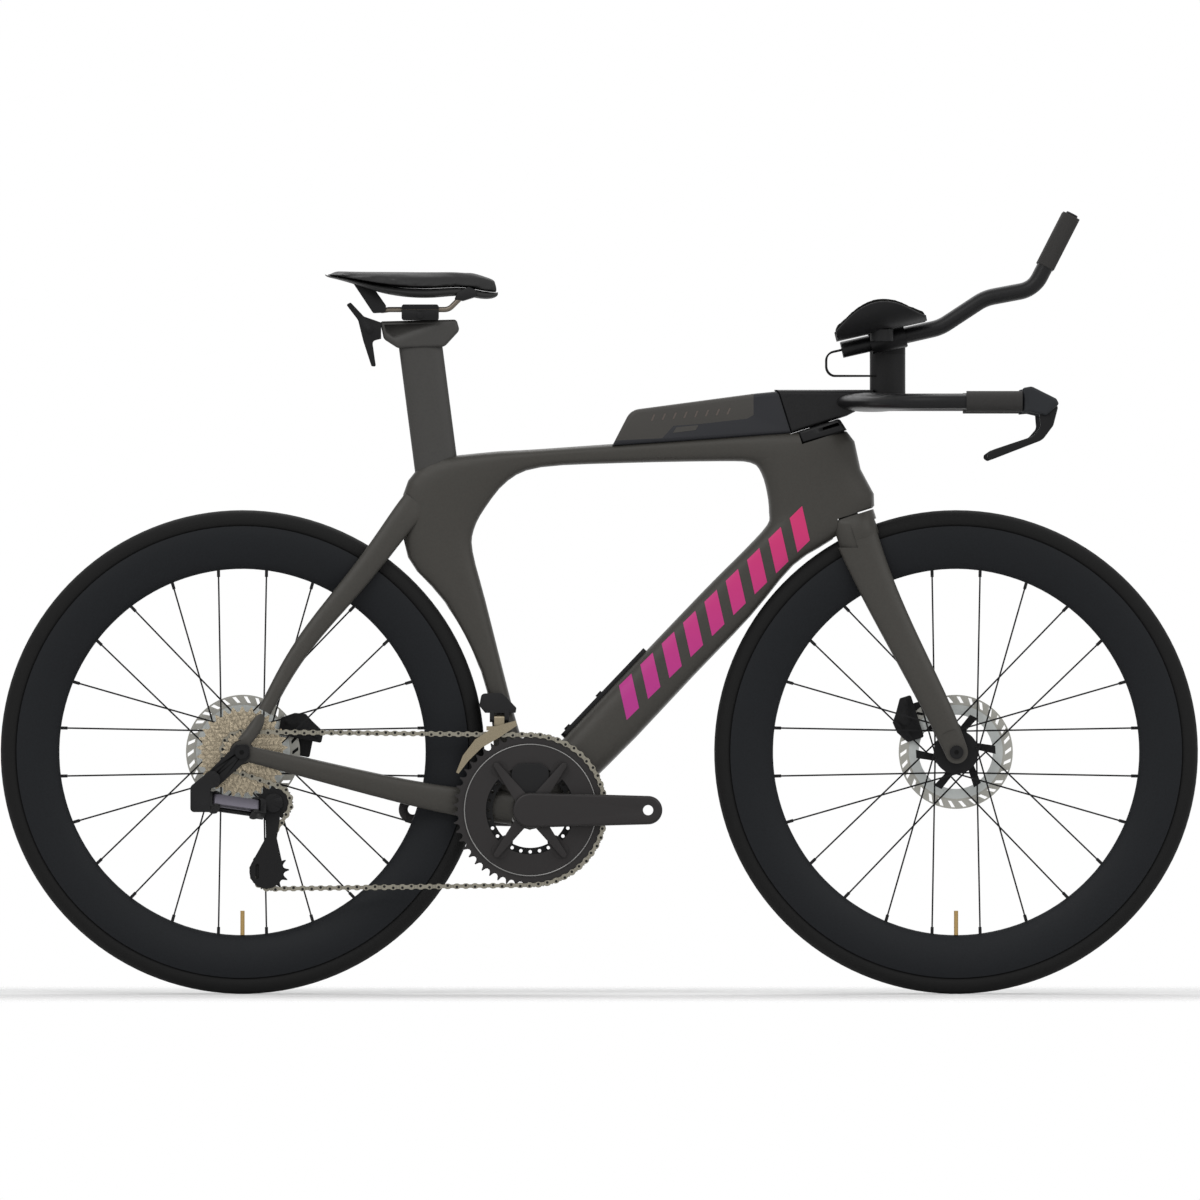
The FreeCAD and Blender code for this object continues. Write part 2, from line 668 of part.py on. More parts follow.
def make_headset():
    bearings = []
    for start in (d.head_lower, d.head_upper - d.bearing_height):
        end = start + d.bearing_height
        ring = steer_cylinder(d.bearing_radius, start, end)
        bearings.append(ring.cut(steer_cylinder(d.steerer_radius + d.fit_gap, start, end)))
    feature("headset_bearings", Part.makeCompound(bearings))
    top = d.head_upper + d.cover_height
    corners = [(d.head_upper, -d.cover_back), (d.head_upper, d.cover_front),
               (top, d.cover_front - d.cover_edge), (top, -d.cover_back)]
    shape = steer_slab(corners, [0, 0, d.cover_edge, 0], d.cover_half_width)
    shape = soften(shape, d.cover_edge)
    bore = steer_cylinder(d.steerer_radius + d.running_gap, d.head_upper - d.overrun, top + d.overrun)
    shape = shape.cut(bore)
    feature("headset_cover", shape)


def make_bottom_bracket():
    """Two cups pressed into the shell, each with a bore for the spindle."""
    cups = []
    edge = d.shell_width / 2
    for side in (1, -1):
        cup = along_y(d.cup_radius, side * (edge - d.cup_depth), side * edge, CRANK)
        cup = cup.fuse(along_y(d.cup_flange_radius, side * edge, side * (edge + d.cup_flange_width), CRANK))
        cups.append(cup.cut(along_y(d.spindle_radius + d.fit_gap, -d.shell_width, d.shell_width, CRANK)))
    feature("bottom_bracket", Part.makeCompound(cups))


HANGER_CORNER_SHARE = 0.7


def make_hanger():
    """The plate beside the right dropout that carries the rear derailleur."""
    body = add_body("derailleur_hanger")
    arm = d.hanger_radius
    corner = d.hanger_radius * HANGER_CORNER_SHARE
    back = -d.hanger_back
    low = -d.hanger_down
    outline = [(arm, -corner), (arm, corner), (corner, arm), (-corner, arm),
               (back - corner, low + corner), (back - corner, low - corner),
               (back + corner, low - arm), (back + arm, low - corner)]
    pad_outline(body, "derailleur_hanger", outline, d.hanger_width)
    pocket = drill(body, "derailleur_hanger", [((0, 0), d.axle_radius + d.fit_gap),
                                              ((back, low), d.hanger_bolt_radius)])
    body.Tip = pocket
    side = -d.rear_spacing / 2 - d.dropout_width - d.hanger_width / 2
    body.Placement.Base = spot(REAR.x, side, REAR.z)
    keep(body, "derailleur_hanger")


def make_axle(label, place, left_end, right_end):
    """A thru-axle with a flanged head on the right."""
    edge = d.axle_head_radius
    outline = [(0, right_end - d.axle_head_width), (edge, right_end - d.axle_head_width), (edge, right_end),
               (d.axle_radius, right_end), (d.axle_radius, left_end), (0, left_end)]
    turned_body(label, outline, place)


def make_axles():
    front = d.front_spacing / 2 + d.dropout_width
    make_axle("front_thru_axle", FRONT, front, -front)
    rear = d.rear_spacing / 2 + d.dropout_width
    make_axle("rear_thru_axle", REAR, rear, -rear - d.hanger_width)


# Stations down a fork leg, from the crown to the axle: how far down, ahead and out as shares of the run from
# crown to axle, then the depth and width as shares of the leg's own.
FORK_LEG_SHARES = (
    (0.00, 0.00, 0.40, 1.18, 1.25),
    (0.23, 0.20, 0.52, 1.00, 1.15),
    (0.58, 0.57, 0.77, 0.82, 1.00),
    (0.88, 0.89, 0.98, 0.70, 0.85),
    (1.00, 1.00, 1.01, 0.62, 0.75),
)
LEG_START_SHARES = (0.94, 0.05)
CROWN_SHARES = ((0.995, 0.95), (0.96, 1.15), (0.90, 1.2))
CROWN_LOW_SHARE = 0.87


def fork_leg(side):
    start = steer(d.head_lower * LEG_START_SHARES[0], d.crown_front * LEG_START_SHARES[1])
    run = FRONT - start
    reach = d.front_spacing / 2 + d.dropout_width / 2
    wires = []
    for down, ahead, out, depth, width in FORK_LEG_SHARES:
        place = spot(start.x + run.x * ahead, side * reach * out, start.z + run.z * down)
        wires.append(section(place, STEER_AHEAD, SIDE, depth * d.leg_depth / 2, width * d.leg_width / 2,
                             OVAL_POWER_SHARE))
    return loft(wires)


def make_fork():
    """Steerer, crown and two legs, with a tunnel for the tyre."""
    half_depth = (d.crown_front + d.crown_sweep_radius) / 2
    middle = (d.crown_front - d.crown_sweep_radius) / 2
    top = d.head_lower - d.running_gap
    wires = []
    for along, width in CROWN_SHARES:
        wires.append(section(steer(d.head_lower * along, middle), STEER_AHEAD, SIDE, half_depth,
                             width * d.crown_half_width, ROUNDED_POWER_SHARE))
    shape = loft(wires)
    for side in (1, -1):
        inner = side * d.front_spacing / 2
        shape = shape.fuse(fork_leg(side))
        shape = shape.fuse(along_y(d.dropout_radius, inner, inner + side * d.dropout_width, FRONT))
    shape = shape.common(crown_room(d.crown_sweep_radius - d.running_gap, top).fuse(
        Part.makeBox(float(d.wheelbase), float(d.wheelbase), float(steer(d.head_lower * CROWN_LOW_SHARE).z),
                     spot(0, -d.wheelbase / 2, 0))))
    shape = shape.fuse(steer_cylinder(d.steerer_radius, d.head_lower * CROWN_SHARES[1][0],
                                      d.head_upper + d.cover_height + d.stem_front / 2))
    tunnel = along_y(d.tyre_radius + d.tunnel_gap, -d.tunnel_half_width, d.tunnel_half_width, FRONT)
    shape = shape.cut(tunnel)
    shape = shape.cut(along_y(d.axle_radius + d.fit_gap, -d.front_spacing, d.front_spacing, FRONT))
    edge = d.front_spacing / 2 + d.dropout_width
    for side in (1, -1):
        shape = shape.cut(along_y(2 * d.dropout_radius, 0, side * d.front_spacing / 2, FRONT))
        shape = shape.cut(along_y(2 * d.dropout_radius, side * edge, side * (edge + d.dropout_width), FRONT))
    return feature("fork", shape)


# Stations out along half of the base bar: how far out and ahead as shares of the half span and the reach,
# the turn of the section towards the front in degrees, then its chord and thickness between centre and tip.
BASE_BAR_SHARES = (
    (0.00, 0.00, 0, 0.00, 0.00),
    (0.22, 0.00, 0, 0.05, 0.10),
    (0.55, 0.05, 10, 0.45, 0.55),
    (0.82, 0.14, 35, 0.80, 0.90),
    (0.97, 0.32, 75, 1.00, 1.00),
    (1.00, 0.52, 90, 1.00, 1.00),
    (1.00, 0.68, 90, 1.00, 1.00),
    (1.00, 0.84, 90, 1.00, 1.00),
    (1.00, 1.00, 90, 1.00, 1.00),
)


def mix(start, end, share):
    return start + (end - start) * share


def base_bar_half(side):
    wires = []
    reach = d.bar_tip_ahead - d.bar_centre_ahead
    for out, ahead, turn, chord_share, thick_share in BASE_BAR_SHARES:
        angle = math.radians(turn)
        across = Vector(math.cos(angle), -side * math.sin(angle), 0)
        place = spot(d.bar_centre_ahead + reach * ahead, side * d.bar_half_span * out, d.bar_height)
        chord = mix(d.bar_centre_chord, d.bar_tip_chord, chord_share)
        thick = mix(d.bar_thickness, d.bar_tip_thickness, thick_share)
        wires.append(section(place, across, UP, chord / 2, thick / 2, OVAL_POWER_SHARE))
    return loft(wires)


def make_base_bar():
    """The base bar in one piece with its stem, which turns on the steerer behind a drum-shaped back."""
    low = d.head_upper + d.cover_height + d.running_gap
    back = steer(low, -d.stem_radius - d.stem_edge)
    rear_top = back + STEER_UP * ((float(d.stem_top) - back.z) / STEER_UP.z)
    front_low = steer(low, d.stem_front)
    front_top = spot(d.bar_centre_ahead, 0, d.stem_top)
    shape = slab([back, front_low, spot(front_top.x, 0, d.bar_height), front_top, rear_top], [0, 0, 0, 0, 0],
                 d.stem_half_width)
    shape = soften(shape, d.stem_edge)
    drum = steer_cylinder(d.stem_radius, low - d.overrun, d.head_upper + 2 * d.stem_radius)
    front_room = crown_room(d.stem_radius, d.head_upper + 2 * d.stem_radius)
    shape = shape.common(front_room.fuse(drum))
    shape = shape.fuse(base_bar_half(1)).fuse(base_bar_half(-1))
    shape = shape.cut(steer_cylinder(d.steerer_radius + d.fit_gap, low - d.overrun,
                                     d.head_upper + d.cover_height + d.stem_front / 2 + d.running_gap))
    return feature("base_bar", shape)


def tip_section(ahead, side, grow):
    place = spot(ahead, side * d.bar_half_span, d.bar_height)
    half_chord = d.bar_tip_chord / 2 + grow
    return section(place, -SIDE, UP, half_chord, d.bar_tip_thickness / 2 + grow, OVAL_POWER_SHARE)


def make_bar_tape(base_bar):
    sleeves = []
    start = d.bar_tip_ahead - d.tape_length
    for side in (1, -1):
        outer = loft([tip_section(start, side, d.tape_wall), tip_section(d.bar_tip_ahead, side, d.tape_wall)])
        sleeves.append(outer.cut(base_bar))
    feature("bar_tape", Part.makeCompound(sleeves))


# Corners of a brake lever seen from the side, measured from its pin as shares of the lever's length.
LEVER_SHARES = (
    (-0.10, 0.06), (0.08, 0.07), (0.177, 0.0), (0.104, -0.281), (-0.052, -0.49), (-0.80, -0.78),
    (-0.896, -0.72), (-0.76, -0.625), (-0.198, -0.4375), (-0.083, -0.302), (-0.10, -0.104),
)
LEVER_ROUND_SHARES = (0.04, 0.05, 0.06, 0.1, 0.2, 0.04, 0.05, 0.1, 0.15, 0.1, 0.02)
# Corners of a lever body, measured from the end of the bar as shares of the body's length.
LEVER_BODY_SHARES = ((0.0, -0.26), (0.0, 0.30), (0.20, 0.34), (0.76, 0.06), (0.82, -0.06), (0.53, -0.32),
                     (0.18, -0.24))
LEVER_BODY_ROUND_SHARES = (0.02, 0.05, 0.15, 0.1, 0.06, 0.08, 0.1)
LEVER_PIN_SHARES = (0.53, -0.11)
LEVER_SLOT_SHARES = ((0.26, -0.6), (0.26, 0.115), (1.0, 0.115), (1.0, -0.6))


def side_places(origin, shares, unit):
    return [origin + AHEAD * (float(unit) * ahead) + UP * (float(unit) * up) for ahead, up in shares]


def scaled(shares, unit):
    return [float(unit) * share for share in shares]


BAR_END = spot(d.bar_tip_ahead + d.box_gap, 0, d.bar_height)
LEVER_PIN = side_places(BAR_END, [LEVER_PIN_SHARES], d.lever_body_length)[0]


def make_levers():
    """Two lever bodies on the bar ends, each with a pin, and the two levers that turn on the pins."""
    bodies = []
    unit = d.lever_body_length
    for label, side in (("brake_lever_left", 1), ("brake_lever_right", -1)):
        middle = side * d.bar_half_span
        shape = slab(side_places(BAR_END, LEVER_BODY_SHARES, unit), scaled(LEVER_BODY_ROUND_SHARES, unit),
                     d.lever_body_width / 2, middle)
        shape = soften(shape, d.lever_body_width / 6)
        slot = slab(side_places(BAR_END, LEVER_SLOT_SHARES, unit), [0, 0, 0, 0],
                    d.lever_width / 2 + d.running_gap, middle)
        half = d.lever_body_width / 2
        pin = along_y(d.lever_pin_radius, middle - half, middle + half, LEVER_PIN)
        bodies.append(shape.cut(slot).fuse(pin))
        lever = slab(side_places(LEVER_PIN, LEVER_SHARES, d.lever_length),
                     scaled(LEVER_ROUND_SHARES, d.lever_length), d.lever_width / 2, middle)
        lever = soften(lever, d.lever_width / 5)
        feature(label, lever.cut(along_y(d.lever_pin_radius + d.fit_gap, middle - d.lever_width,
                                         middle + d.lever_width, LEVER_PIN)))
    feature("lever_bodies", Part.makeCompound(bodies))


def bent_path(points, radii):
    """Straight runs joined by tangent arcs."""
    edges = []
    start = points[0]
    for index in range(1, len(points) - 1):
        point = points[index]
        before = (points[index - 1] - point).normalize()
        after = (points[index + 1] - point).normalize()
        half = before.getAngle(after) / 2
        radius = float(radii[index - 1])
        reach = radius / math.tan(half)
        middle = (before + after).normalize() * (radius / math.sin(half) - radius)
        edges.append(Part.LineSegment(start, point + before * reach).toShape())
        edges.append(Part.Arc(point + before * reach, point + middle, point + after * reach).toShape())
        start = point + after * reach
    edges.append(Part.LineSegment(start, points[-1]).toShape())
    return Part.Wire(edges)


LOST_VOLUME_SHARE = 0.02


def tube(points, radii, radius):
    """A round bar or cord along a bent path. Its volume is compared with its section times its length."""
    path = bent_path(points, radii)
    circle = Part.Wire([Part.Circle(points[0], points[1] - points[0], float(radius)).toShape()])
    solid = path.makePipeShell([circle], True, False)
    expected = math.pi * float(radius) ** 2 * path.Length
    if abs(solid.Volume - expected) > LOST_VOLUME_SHARE * expected:
        raise RuntimeError("a bent tube lost its volume")
    return solid


# The bends of an aerobar extension: how far ahead and up from its rear end, as shares of its reach.
EXTENSION_SHARES = ((0.0, 0.0), (0.43, 0.098), (0.625, 0.226), (0.837, 0.266), (1.0, 0.585))
EXTENSION_BEND_SHARES = (0.19, 0.19, 0.12)
GRIP_SPAN_SHARES = (0.30, 0.88)


def extension_places():
    start = spot(d.extension_ahead, 0, d.extension_height)
    return side_places(start, EXTENSION_SHARES, d.extension_reach)


def extension_tip():
    points = extension_places()
    return points[-1], (points[-1] - points[-2]).normalize(), points[-1].distanceToPoint(points[-2])


def make_extensions():
    bars = []
    grips = []
    tip, course, run = extension_tip()
    points = extension_places()
    root = points[-2]
    cut_back = root + course * (run * GRIP_SPAN_SHARES[1])
    bends = scaled(EXTENSION_BEND_SHARES, d.extension_reach)
    shape = tube(points[:-1] + [cut_back], bends, d.extension_radius)
    grip_start = root + course * (run * GRIP_SPAN_SHARES[0])
    sleeve = Part.makeCylinder(float(d.grip_radius), run * (1 - GRIP_SPAN_SHARES[0]), grip_start, course)
    ends = [edge for edge in sleeve.Edges if edge.Closed]
    sleeve = sleeve.makeFillet(float(d.grip_radius - d.extension_radius) / 2, ends)
    sleeve = sleeve.cut(Part.makeCylinder(float(d.extension_radius + d.fit_gap),
                                          cut_back.distanceToPoint(grip_start), grip_start, course))
    sleeve = sleeve.cut(Part.makeCylinder(float(d.button_radius + d.running_gap), run, cut_back, course))
    button_start = cut_back + course * float(d.button_travel + d.running_gap)
    button_length = tip.distanceToPoint(button_start) + float(d.button_proud)
    button = Part.makeCylinder(float(d.button_radius), button_length, button_start, course)
    crown = []
    for edge in button.Edges:
        if edge.Closed and edge.CenterOfMass.distanceToPoint(button_start) > float(d.button_travel):
            crown.append(edge)
    button = button.makeFillet(float(d.button_proud) / 2, crown)
    for label, side in (("shift_button_left", 1), ("shift_button_right", -1)):
        shift = SIDE * (side * float(d.extension_half_gap))
        bars.append(shape.translated(shift))
        grips.append(sleeve.translated(shift))
        feature(label, button.translated(shift))
    feature("extensions", Part.makeCompound(bars))
    feature("extension_grips", Part.makeCompound(grips))


def make_riser(base_bar):
    """The mast on the base bar and the bracket on it that clamps both extensions."""
    foot = spot(d.riser_ahead, 0, d.bar_height)
    top = foot + UP * (float(d.bar_thickness) / 2 + float(d.riser_height))
    wires = [section(place, AHEAD, SIDE, d.riser_chord / 2, d.riser_width / 2, OVAL_POWER_SHARE)
             for place in (foot, top)]
    riser = feature("aero_riser", loft(wires).cut(base_bar)).Shape
    points = extension_places()
    course = (points[1] - points[0]).normalize()
    rise = SIDE.cross(course) * -1
    middle = points[0] + course * ((top.x - points[0].x) / course.x)
    outer = d.extension_radius + d.clamp_wall
    start = middle - course * (float(d.clamp_length) / 2)
    block = Part.makeBox(float(d.clamp_length), 2 * float(d.extension_half_gap), float(d.bridge_height))
    turn = FreeCAD.Rotation(course, SIDE, rise, "ZXY")
    corner = start - SIDE * float(d.extension_half_gap) - rise * (float(d.bridge_height) / 2)
    block.Placement = FreeCAD.Placement(corner, turn)
    pillar = loft([section(place, AHEAD, SIDE, d.riser_chord / 2, d.riser_width / 2, OVAL_POWER_SHARE)
                   for place in (top, spot(top.x, 0, middle.z))])
    shape = block.fuse(pillar)
    holes = []
    for side in (1, -1):
        shift = SIDE * (side * float(d.extension_half_gap))
        shape = shape.fuse(Part.makeCylinder(float(outer), float(d.clamp_length), start + shift, course))
        holes.append(Part.makeCylinder(float(d.extension_radius + d.fit_gap), 3 * float(d.clamp_length),
                                       start + shift - course * float(d.clamp_length), course))
    bracket = shape
    for hole in holes:
        bracket = bracket.cut(hole)
    feature("aerobar_bracket", bracket)
    return riser, shape


# The arm rest's sides along its length, from the elbow forward: place and half angle of the trough.
ARM_REST_SHARES = ((-0.5, 0.50), (-0.42, 0.66), (-0.1, 1.0), (0.15, 0.96), (0.38, 0.62), (0.5, 0.34))
ARM_REST_ANGLE = 68
PAD_CROWN_SHARE = 1.2


def trough_section(place, course, inner, outer, half_angle):
    """A crescent across the arm rest, open upwards, with round ends."""
    rise = SIDE.cross(course) * -1
    centre = place + rise * float(d.trough_radius)

    def at(radius, angle):
        return centre - rise * (radius * math.cos(angle)) + SIDE * (radius * math.sin(angle))

    inner = float(inner)
    outer = float(outer)
    mean = (inner + outer) / 2
    bulge = (outer - inner) / 2 / mean
    edges = [
        Part.Arc(at(outer, -half_angle), at(outer, 0), at(outer, half_angle)).toShape(),
        Part.Arc(at(outer, half_angle), at(mean, half_angle + bulge), at(inner, half_angle)).toShape(),
        Part.Arc(at(inner, half_angle), at(inner, 0), at(inner, -half_angle)).toShape(),
        Part.Arc(at(inner, -half_angle), at(mean, -half_angle - bulge), at(outer, -half_angle)).toShape(),
    ]
    return Part.Wire(edges)


def make_arm_rests():
    """The two arm cups and the foam pads that lie in them."""
    slope = math.radians(d.extension_slope)
    course = Vector(math.cos(slope), 0, math.sin(slope))
    cups = []
    pads = []
    for side in (1, -1):
        middle = spot(d.cup_ahead, side * d.cup_half_gap, d.cup_height)
        cup_wires = []
        pad_wires = []
        for along, angle in ARM_REST_SHARES:
            place = middle + course * (float(d.cup_length) * along)
            half_angle = math.radians(ARM_REST_ANGLE * angle)
            outer = d.trough_radius + d.cup_wall
            cup_wires.append(trough_section(place, course, d.trough_radius, outer, half_angle))
            crown = d.pad_wall * (1 - along * along * PAD_CROWN_SHARE)
            pad_wires.append(trough_section(place, course, d.trough_radius - crown,
                                            d.trough_radius - d.running_gap, half_angle))
        foot = Part.makeCylinder(float(d.cup_foot_radius), float(d.cup_foot_height),
                                 middle - UP * (float(d.cup_foot_height) + float(d.cup_wall) / 2), UP)
        arm_side = min(middle.y, side * float(d.extension_half_gap))
        arm = Part.makeBox(2 * float(d.cup_foot_radius), float(d.cup_half_gap - d.extension_half_gap),
                           float(d.cup_foot_height) / 2,
                           spot(middle.x - d.cup_foot_radius, arm_side,
                                middle.z - d.cup_foot_height - d.cup_wall / 2))
        cups.append(loft(cup_wires).fuse(foot).fuse(arm))
        pads.append(loft(pad_wires).cut(cups[-1]))
    return cups, pads


def make_arm_supports(bracket):
    cups, pads = make_arm_rests()
    feature("arm_cups", Part.makeCompound([cup.cut(bracket) for cup in cups]))
    feature("arm_pads", Part.makeCompound(pads))


# The seatpost head seen from the side, from the top of the post as shares of the head's length.
POST_HEAD_SHARES = ((-0.545, 0.324), (0.486, 0.35), (0.529, 0.205), (0.322, -0.02), (-0.306, -0.037),
                    (-0.494, 0.085))
POST_HEAD_ROUND_SHARES = (0.03, 0.05, 0.08, 0.12, 0.1, 0.08)
# The carrier bracket behind the seatpost head, measured the same way.
CARRIER_SHARES = (
    (-0.53, 0.31), (-0.76, 0.39), (-0.94, 0.58), (-1.0, 0.55), (-0.84, 0.34), (-0.77, 0.06), (-0.66, -0.28),
    (-0.60, -0.285), (-0.65, 0.06), (-0.53, 0.09),
)
CARRIER_ROUND_SHARES = (0.0, 0.05, 0.02, 0.02, 0.1, 0.1, 0.02, 0.02, 0.05, 0.0)
CARRIER_HOLE_SHARES = ((-0.91, 0.49), (-0.672, -0.11))
CARRIER_BOLT_SHARE = (-0.685, 0.213)
POST_STATIONS_SHARES = (0.0, 0.35, 0.7, 1.0)


def post_top():
    return POST_BASE + POST_UP * float(d.post_rise)


def make_seatpost():
    low = -float(d.post_insert)
    high = float(d.post_rise)
    shape = loft([post_section(mix(low, high, share), 0) for share in POST_STATIONS_SHARES])
    head = slab(side_places(post_top(), POST_HEAD_SHARES, d.post_head_length),
                scaled(POST_HEAD_ROUND_SHARES, d.post_head_length), d.post_head_width / 2)
    shape = shape.fuse(soften(head, d.post_head_width / 6))
    feature("seatpost", shape)
    bracket = slab(side_places(post_top(), CARRIER_SHARES, d.post_head_length),
                   scaled(CARRIER_ROUND_SHARES, d.post_head_length), d.carrier_half_width)
    for place in carrier_holes():
        bracket = bracket.cut(Part.makeCylinder(float(d.carrier_hole_radius), 2 * float(d.carrier_half_width),
                                                place - AHEAD * float(d.carrier_half_width), AHEAD))
    bolt = side_places(post_top(), [CARRIER_BOLT_SHARE], d.post_head_length)[0]
    reach = d.carrier_half_width + d.clamp_bolt_height
    bracket = bracket.fuse(along_y(d.clamp_bolt_radius, -reach, reach, bolt))
    feature("carrier_bracket", bracket.cut(shape))
    return shape


def carrier_holes():
    return side_places(post_top(), CARRIER_HOLE_SHARES, d.post_head_length)


# The saddle from rear to nose: place, half width, top and underside, as shares of its length and half width.
SADDLE_SHARES = (
    (0.0, 0.48, 0.004, -0.012), (0.05, 0.78, 0.003, -0.03), (0.165, 0.98, 0.0, -0.062),
    (0.30, 1.0, -0.001, -0.105), (0.49, 0.80, -0.002, -0.138), (0.66, 0.50, -0.002, -0.138),
    (0.81, 0.38, -0.006, -0.132),
    (0.92, 0.33, -0.032, -0.148), (0.985, 0.24, -0.066, -0.138), (1.0, 0.12, -0.085, -0.122),
)
SADDLE_SEAM_SHARE = 0.62
SADDLE_POWER_SHARE = 2.7
SHELL_WIDTH_SHARE = 0.95
# The rails from rear to front, from the middle of the clamp as shares of the saddle's length.
RAIL_SHARES = ((-0.335, 0.150), (-0.235, -0.008), (-0.18, 0.0), (0.165, 0.0), (0.278, 0.112))
RAIL_BEND_SHARES = (0.03, 0.06, 0.06)
RAIL_MIDDLE_SHARE = 0.55


def saddle_layer(top_share, bottom_share, width_share, drop):
    wires = []
    for along, width, top, bottom in SADDLE_SHARES:
        length = float(d.saddle_length)
        high = mix(top, bottom, top_share) * length - drop
        low = mix(top, bottom, bottom_share) * length - drop
        centre = spot(d.saddle_rear_ahead + length * along, 0, d.saddle_top + (high + low) / 2)
        wires.append(section(centre, SIDE, UP, d.saddle_width / 2 * width * width_share, (high - low) / 2,
                             SADDLE_POWER_SHARE))
    return loft(wires)


def make_saddle(post):
    """The padded cover, the shell under it, the two rails and the clamp that holds them on the post."""
    feature("saddle_cover", saddle_layer(0, SADDLE_SEAM_SHARE, 1, 0))
    shell = saddle_layer(SADDLE_SEAM_SHARE, 1, SHELL_WIDTH_SHARE, float(d.seam_gap))
    feature("saddle_shell", shell)
    middle = spot(d.saddle_rear_ahead + d.saddle_length * RAIL_MIDDLE_SHARE, 0, d.rail_height)
    rail = tube(side_places(middle, RAIL_SHARES, d.saddle_length), scaled(RAIL_BEND_SHARES, d.saddle_length),
                d.rail_radius)
    rails = []
    holes = []
    for side in (1, -1):
        shift = SIDE * (side * float(d.rail_half_gap))
        rails.append(rail.translated(shift).cut(shell))
        holes.append(Part.makeCylinder(float(d.rail_radius + d.fit_gap), 2 * float(d.rail_clamp_length),
                                       middle + shift - AHEAD * float(d.rail_clamp_length), AHEAD))
    feature("saddle_rails", Part.makeCompound(rails))
    half = d.rail_clamp_length / 2
    top = middle.z + d.rail_radius * 2
    low = top - d.rail_clamp_height
    corners = [spot(middle.x - half, 0, low), spot(middle.x + half, 0, low), spot(middle.x + half, 0, top),
               spot(middle.x - half, 0, top)]
    clamp = slab(corners, [d.rail_radius for corner in corners], d.rail_clamp_half_width)
    reach = d.rail_clamp_half_width + d.clamp_bolt_height
    for hole in holes:
        clamp = clamp.cut(hole)
    jaw = Part.makeBox(2 * float(d.rail_clamp_length), float(d.rail_half_gap), float(d.jaw_slot),
                       middle + SIDE * float(d.rail_half_gap) - AHEAD * float(d.rail_clamp_length)
                       - UP * (float(d.jaw_slot) / 2))
    clamp = clamp.cut(jaw)
    clamp = clamp.cut(mirrored(jaw))
    bolt = middle - UP * float(d.rail_radius + d.clamp_bolt_radius)
    clamp = clamp.fuse(along_y(d.clamp_bolt_radius, -reach, reach, bolt))
    feature("saddle_clamp", clamp.cut(post))


# The storage box on the top tube, from its lower rear corner as shares of its length.
BOX_SHARES = ((-0.008, -0.016), (0.095, 0.183), (0.778, 0.274), (1.04, 0.30), (1.04, 0.055))
BOX_ROUND_SHARES = (0.0, 0.09, 0.3, 0.0, 0.0)
BOX_COVER_SHARES = ((-0.04, 0.012), (-0.04, 0.4), (0.778, 0.4), (0.778, 0.155), (0.742, 0.135),
                    (0.476, 0.105), (0.333, 0.095), (0.27, 0.026))


def make_storage_box(frame_shape):
    corner = spot(d.box_ahead, 0, d.box_base)
    shape = slab(side_places(corner, BOX_SHARES, d.box_length), scaled(BOX_ROUND_SHARES, d.box_length),
                 d.box_width / 2)
    shape = soften(shape, d.box_edge)
    shape = shape.cut(steer_cylinder(d.headset_sweep_radius, d.head_lower, d.head_upper + d.box_length))
    shape = shape.cut(frame_shape)
    corners = side_places(corner, BOX_COVER_SHARES, d.box_length)
    parting = slab(corners, [0 for corner in corners], d.box_width)
    feature("storage_cover", shape.common(parting))
    feature("storage_base", shape.cut(parting))


# The rim's side from the lip to the nose: distance in from the lip, then half width.
RIM_SIDE_SHARES = ((0.0, 1.0), (0.30, 1.08), (0.62, 0.86), (0.86, 0.50), (0.97, 0.20))


def rim_shape():
    """A deep rim turned about Y, with a bed between its lips for the tyre."""
    side = []
    for inward, half in RIM_SIDE_SHARES:
        side.append(spot(d.rim_radius - d.rim_depth * inward, d.rim_width / 2 * half, 0))
    nose = spot(d.rim_radius - d.rim_depth, 0, 0)
    other = [spot(place.x, -place.y, 0) for place in reversed(side)]
    curve = Part.BSplineCurve()
    curve.interpolate(side + [nose] + other)
    bed = d.rim_radius - d.rim_bed_depth
    inside = d.rim_width / 2 - d.rim_lip
    corners = [other[-1], spot(d.rim_radius, -inside, 0), spot(bed, -inside, 0), spot(bed, inside, 0),
               spot(d.rim_radius, inside, 0), side[0]]
    edges = [curve.toShape()]
    for start, end in zip(corners, corners[1:]):
        edges.append(Part.LineSegment(start, end).toShape())
    face = Part.Face(Part.Wire(edges))
    return face.revolve(ORIGIN, SIDE, FULL_TURN)


SPOKE_STEP = 15
SPOKES_IN_GROUP = 3
NEAR_SHARE = 0.5


def wheel_point(radius, angle, side=0):
    turn = math.radians(angle)
    return Vector(float(radius) * math.cos(turn), float(side), float(radius) * math.sin(turn))


def spoke_ends(strong, weak):
    """Both ends of every spoke: two of each three run to the strong flange and cross beside it."""
    ends = []
    seat = d.spoke_seat_radius
    rim = d.rim_radius - d.rim_depth + d.nipple_seat
    lean = math.degrees(math.acos(seat / rim))
    beside = float(d.flange_width + d.spoke_thickness) / 2
    for group in range(int(d.spoke_groups)):
        turns = (1, 1 if group % 2 == 0 else -1, -1)
        for place, turn in enumerate(turns):
            flange = weak if place == 1 else strong
            angle = (group * SPOKES_IN_GROUP + place + NEAR_SHARE) * SPOKE_STEP
            lift = float(d.spoke_lift) if turn > 0 else float(d.fit_gap)
            side = float(flange) + math.copysign(beside + lift, turn * float(flange))
            ends.append((wheel_point(seat, angle + turn * lean, side), wheel_point(rim, angle)))
    return ends


def bar_between(start, end, width, thickness):
    """A straight bar with its wide side in the wheel's plane."""
    course = (end - start).normalize()
    across = SIDE.cross(course).normalize()
    through = course.cross(across)
    wide = across * (float(width) / 2)
    thick = through * (float(thickness) / 2)
    corners = [start + wide + thick, start + wide - thick, start - wide - thick, start - wide + thick]
    return Part.Face(Part.makePolygon(corners + corners[:1])).extrude(end - start)


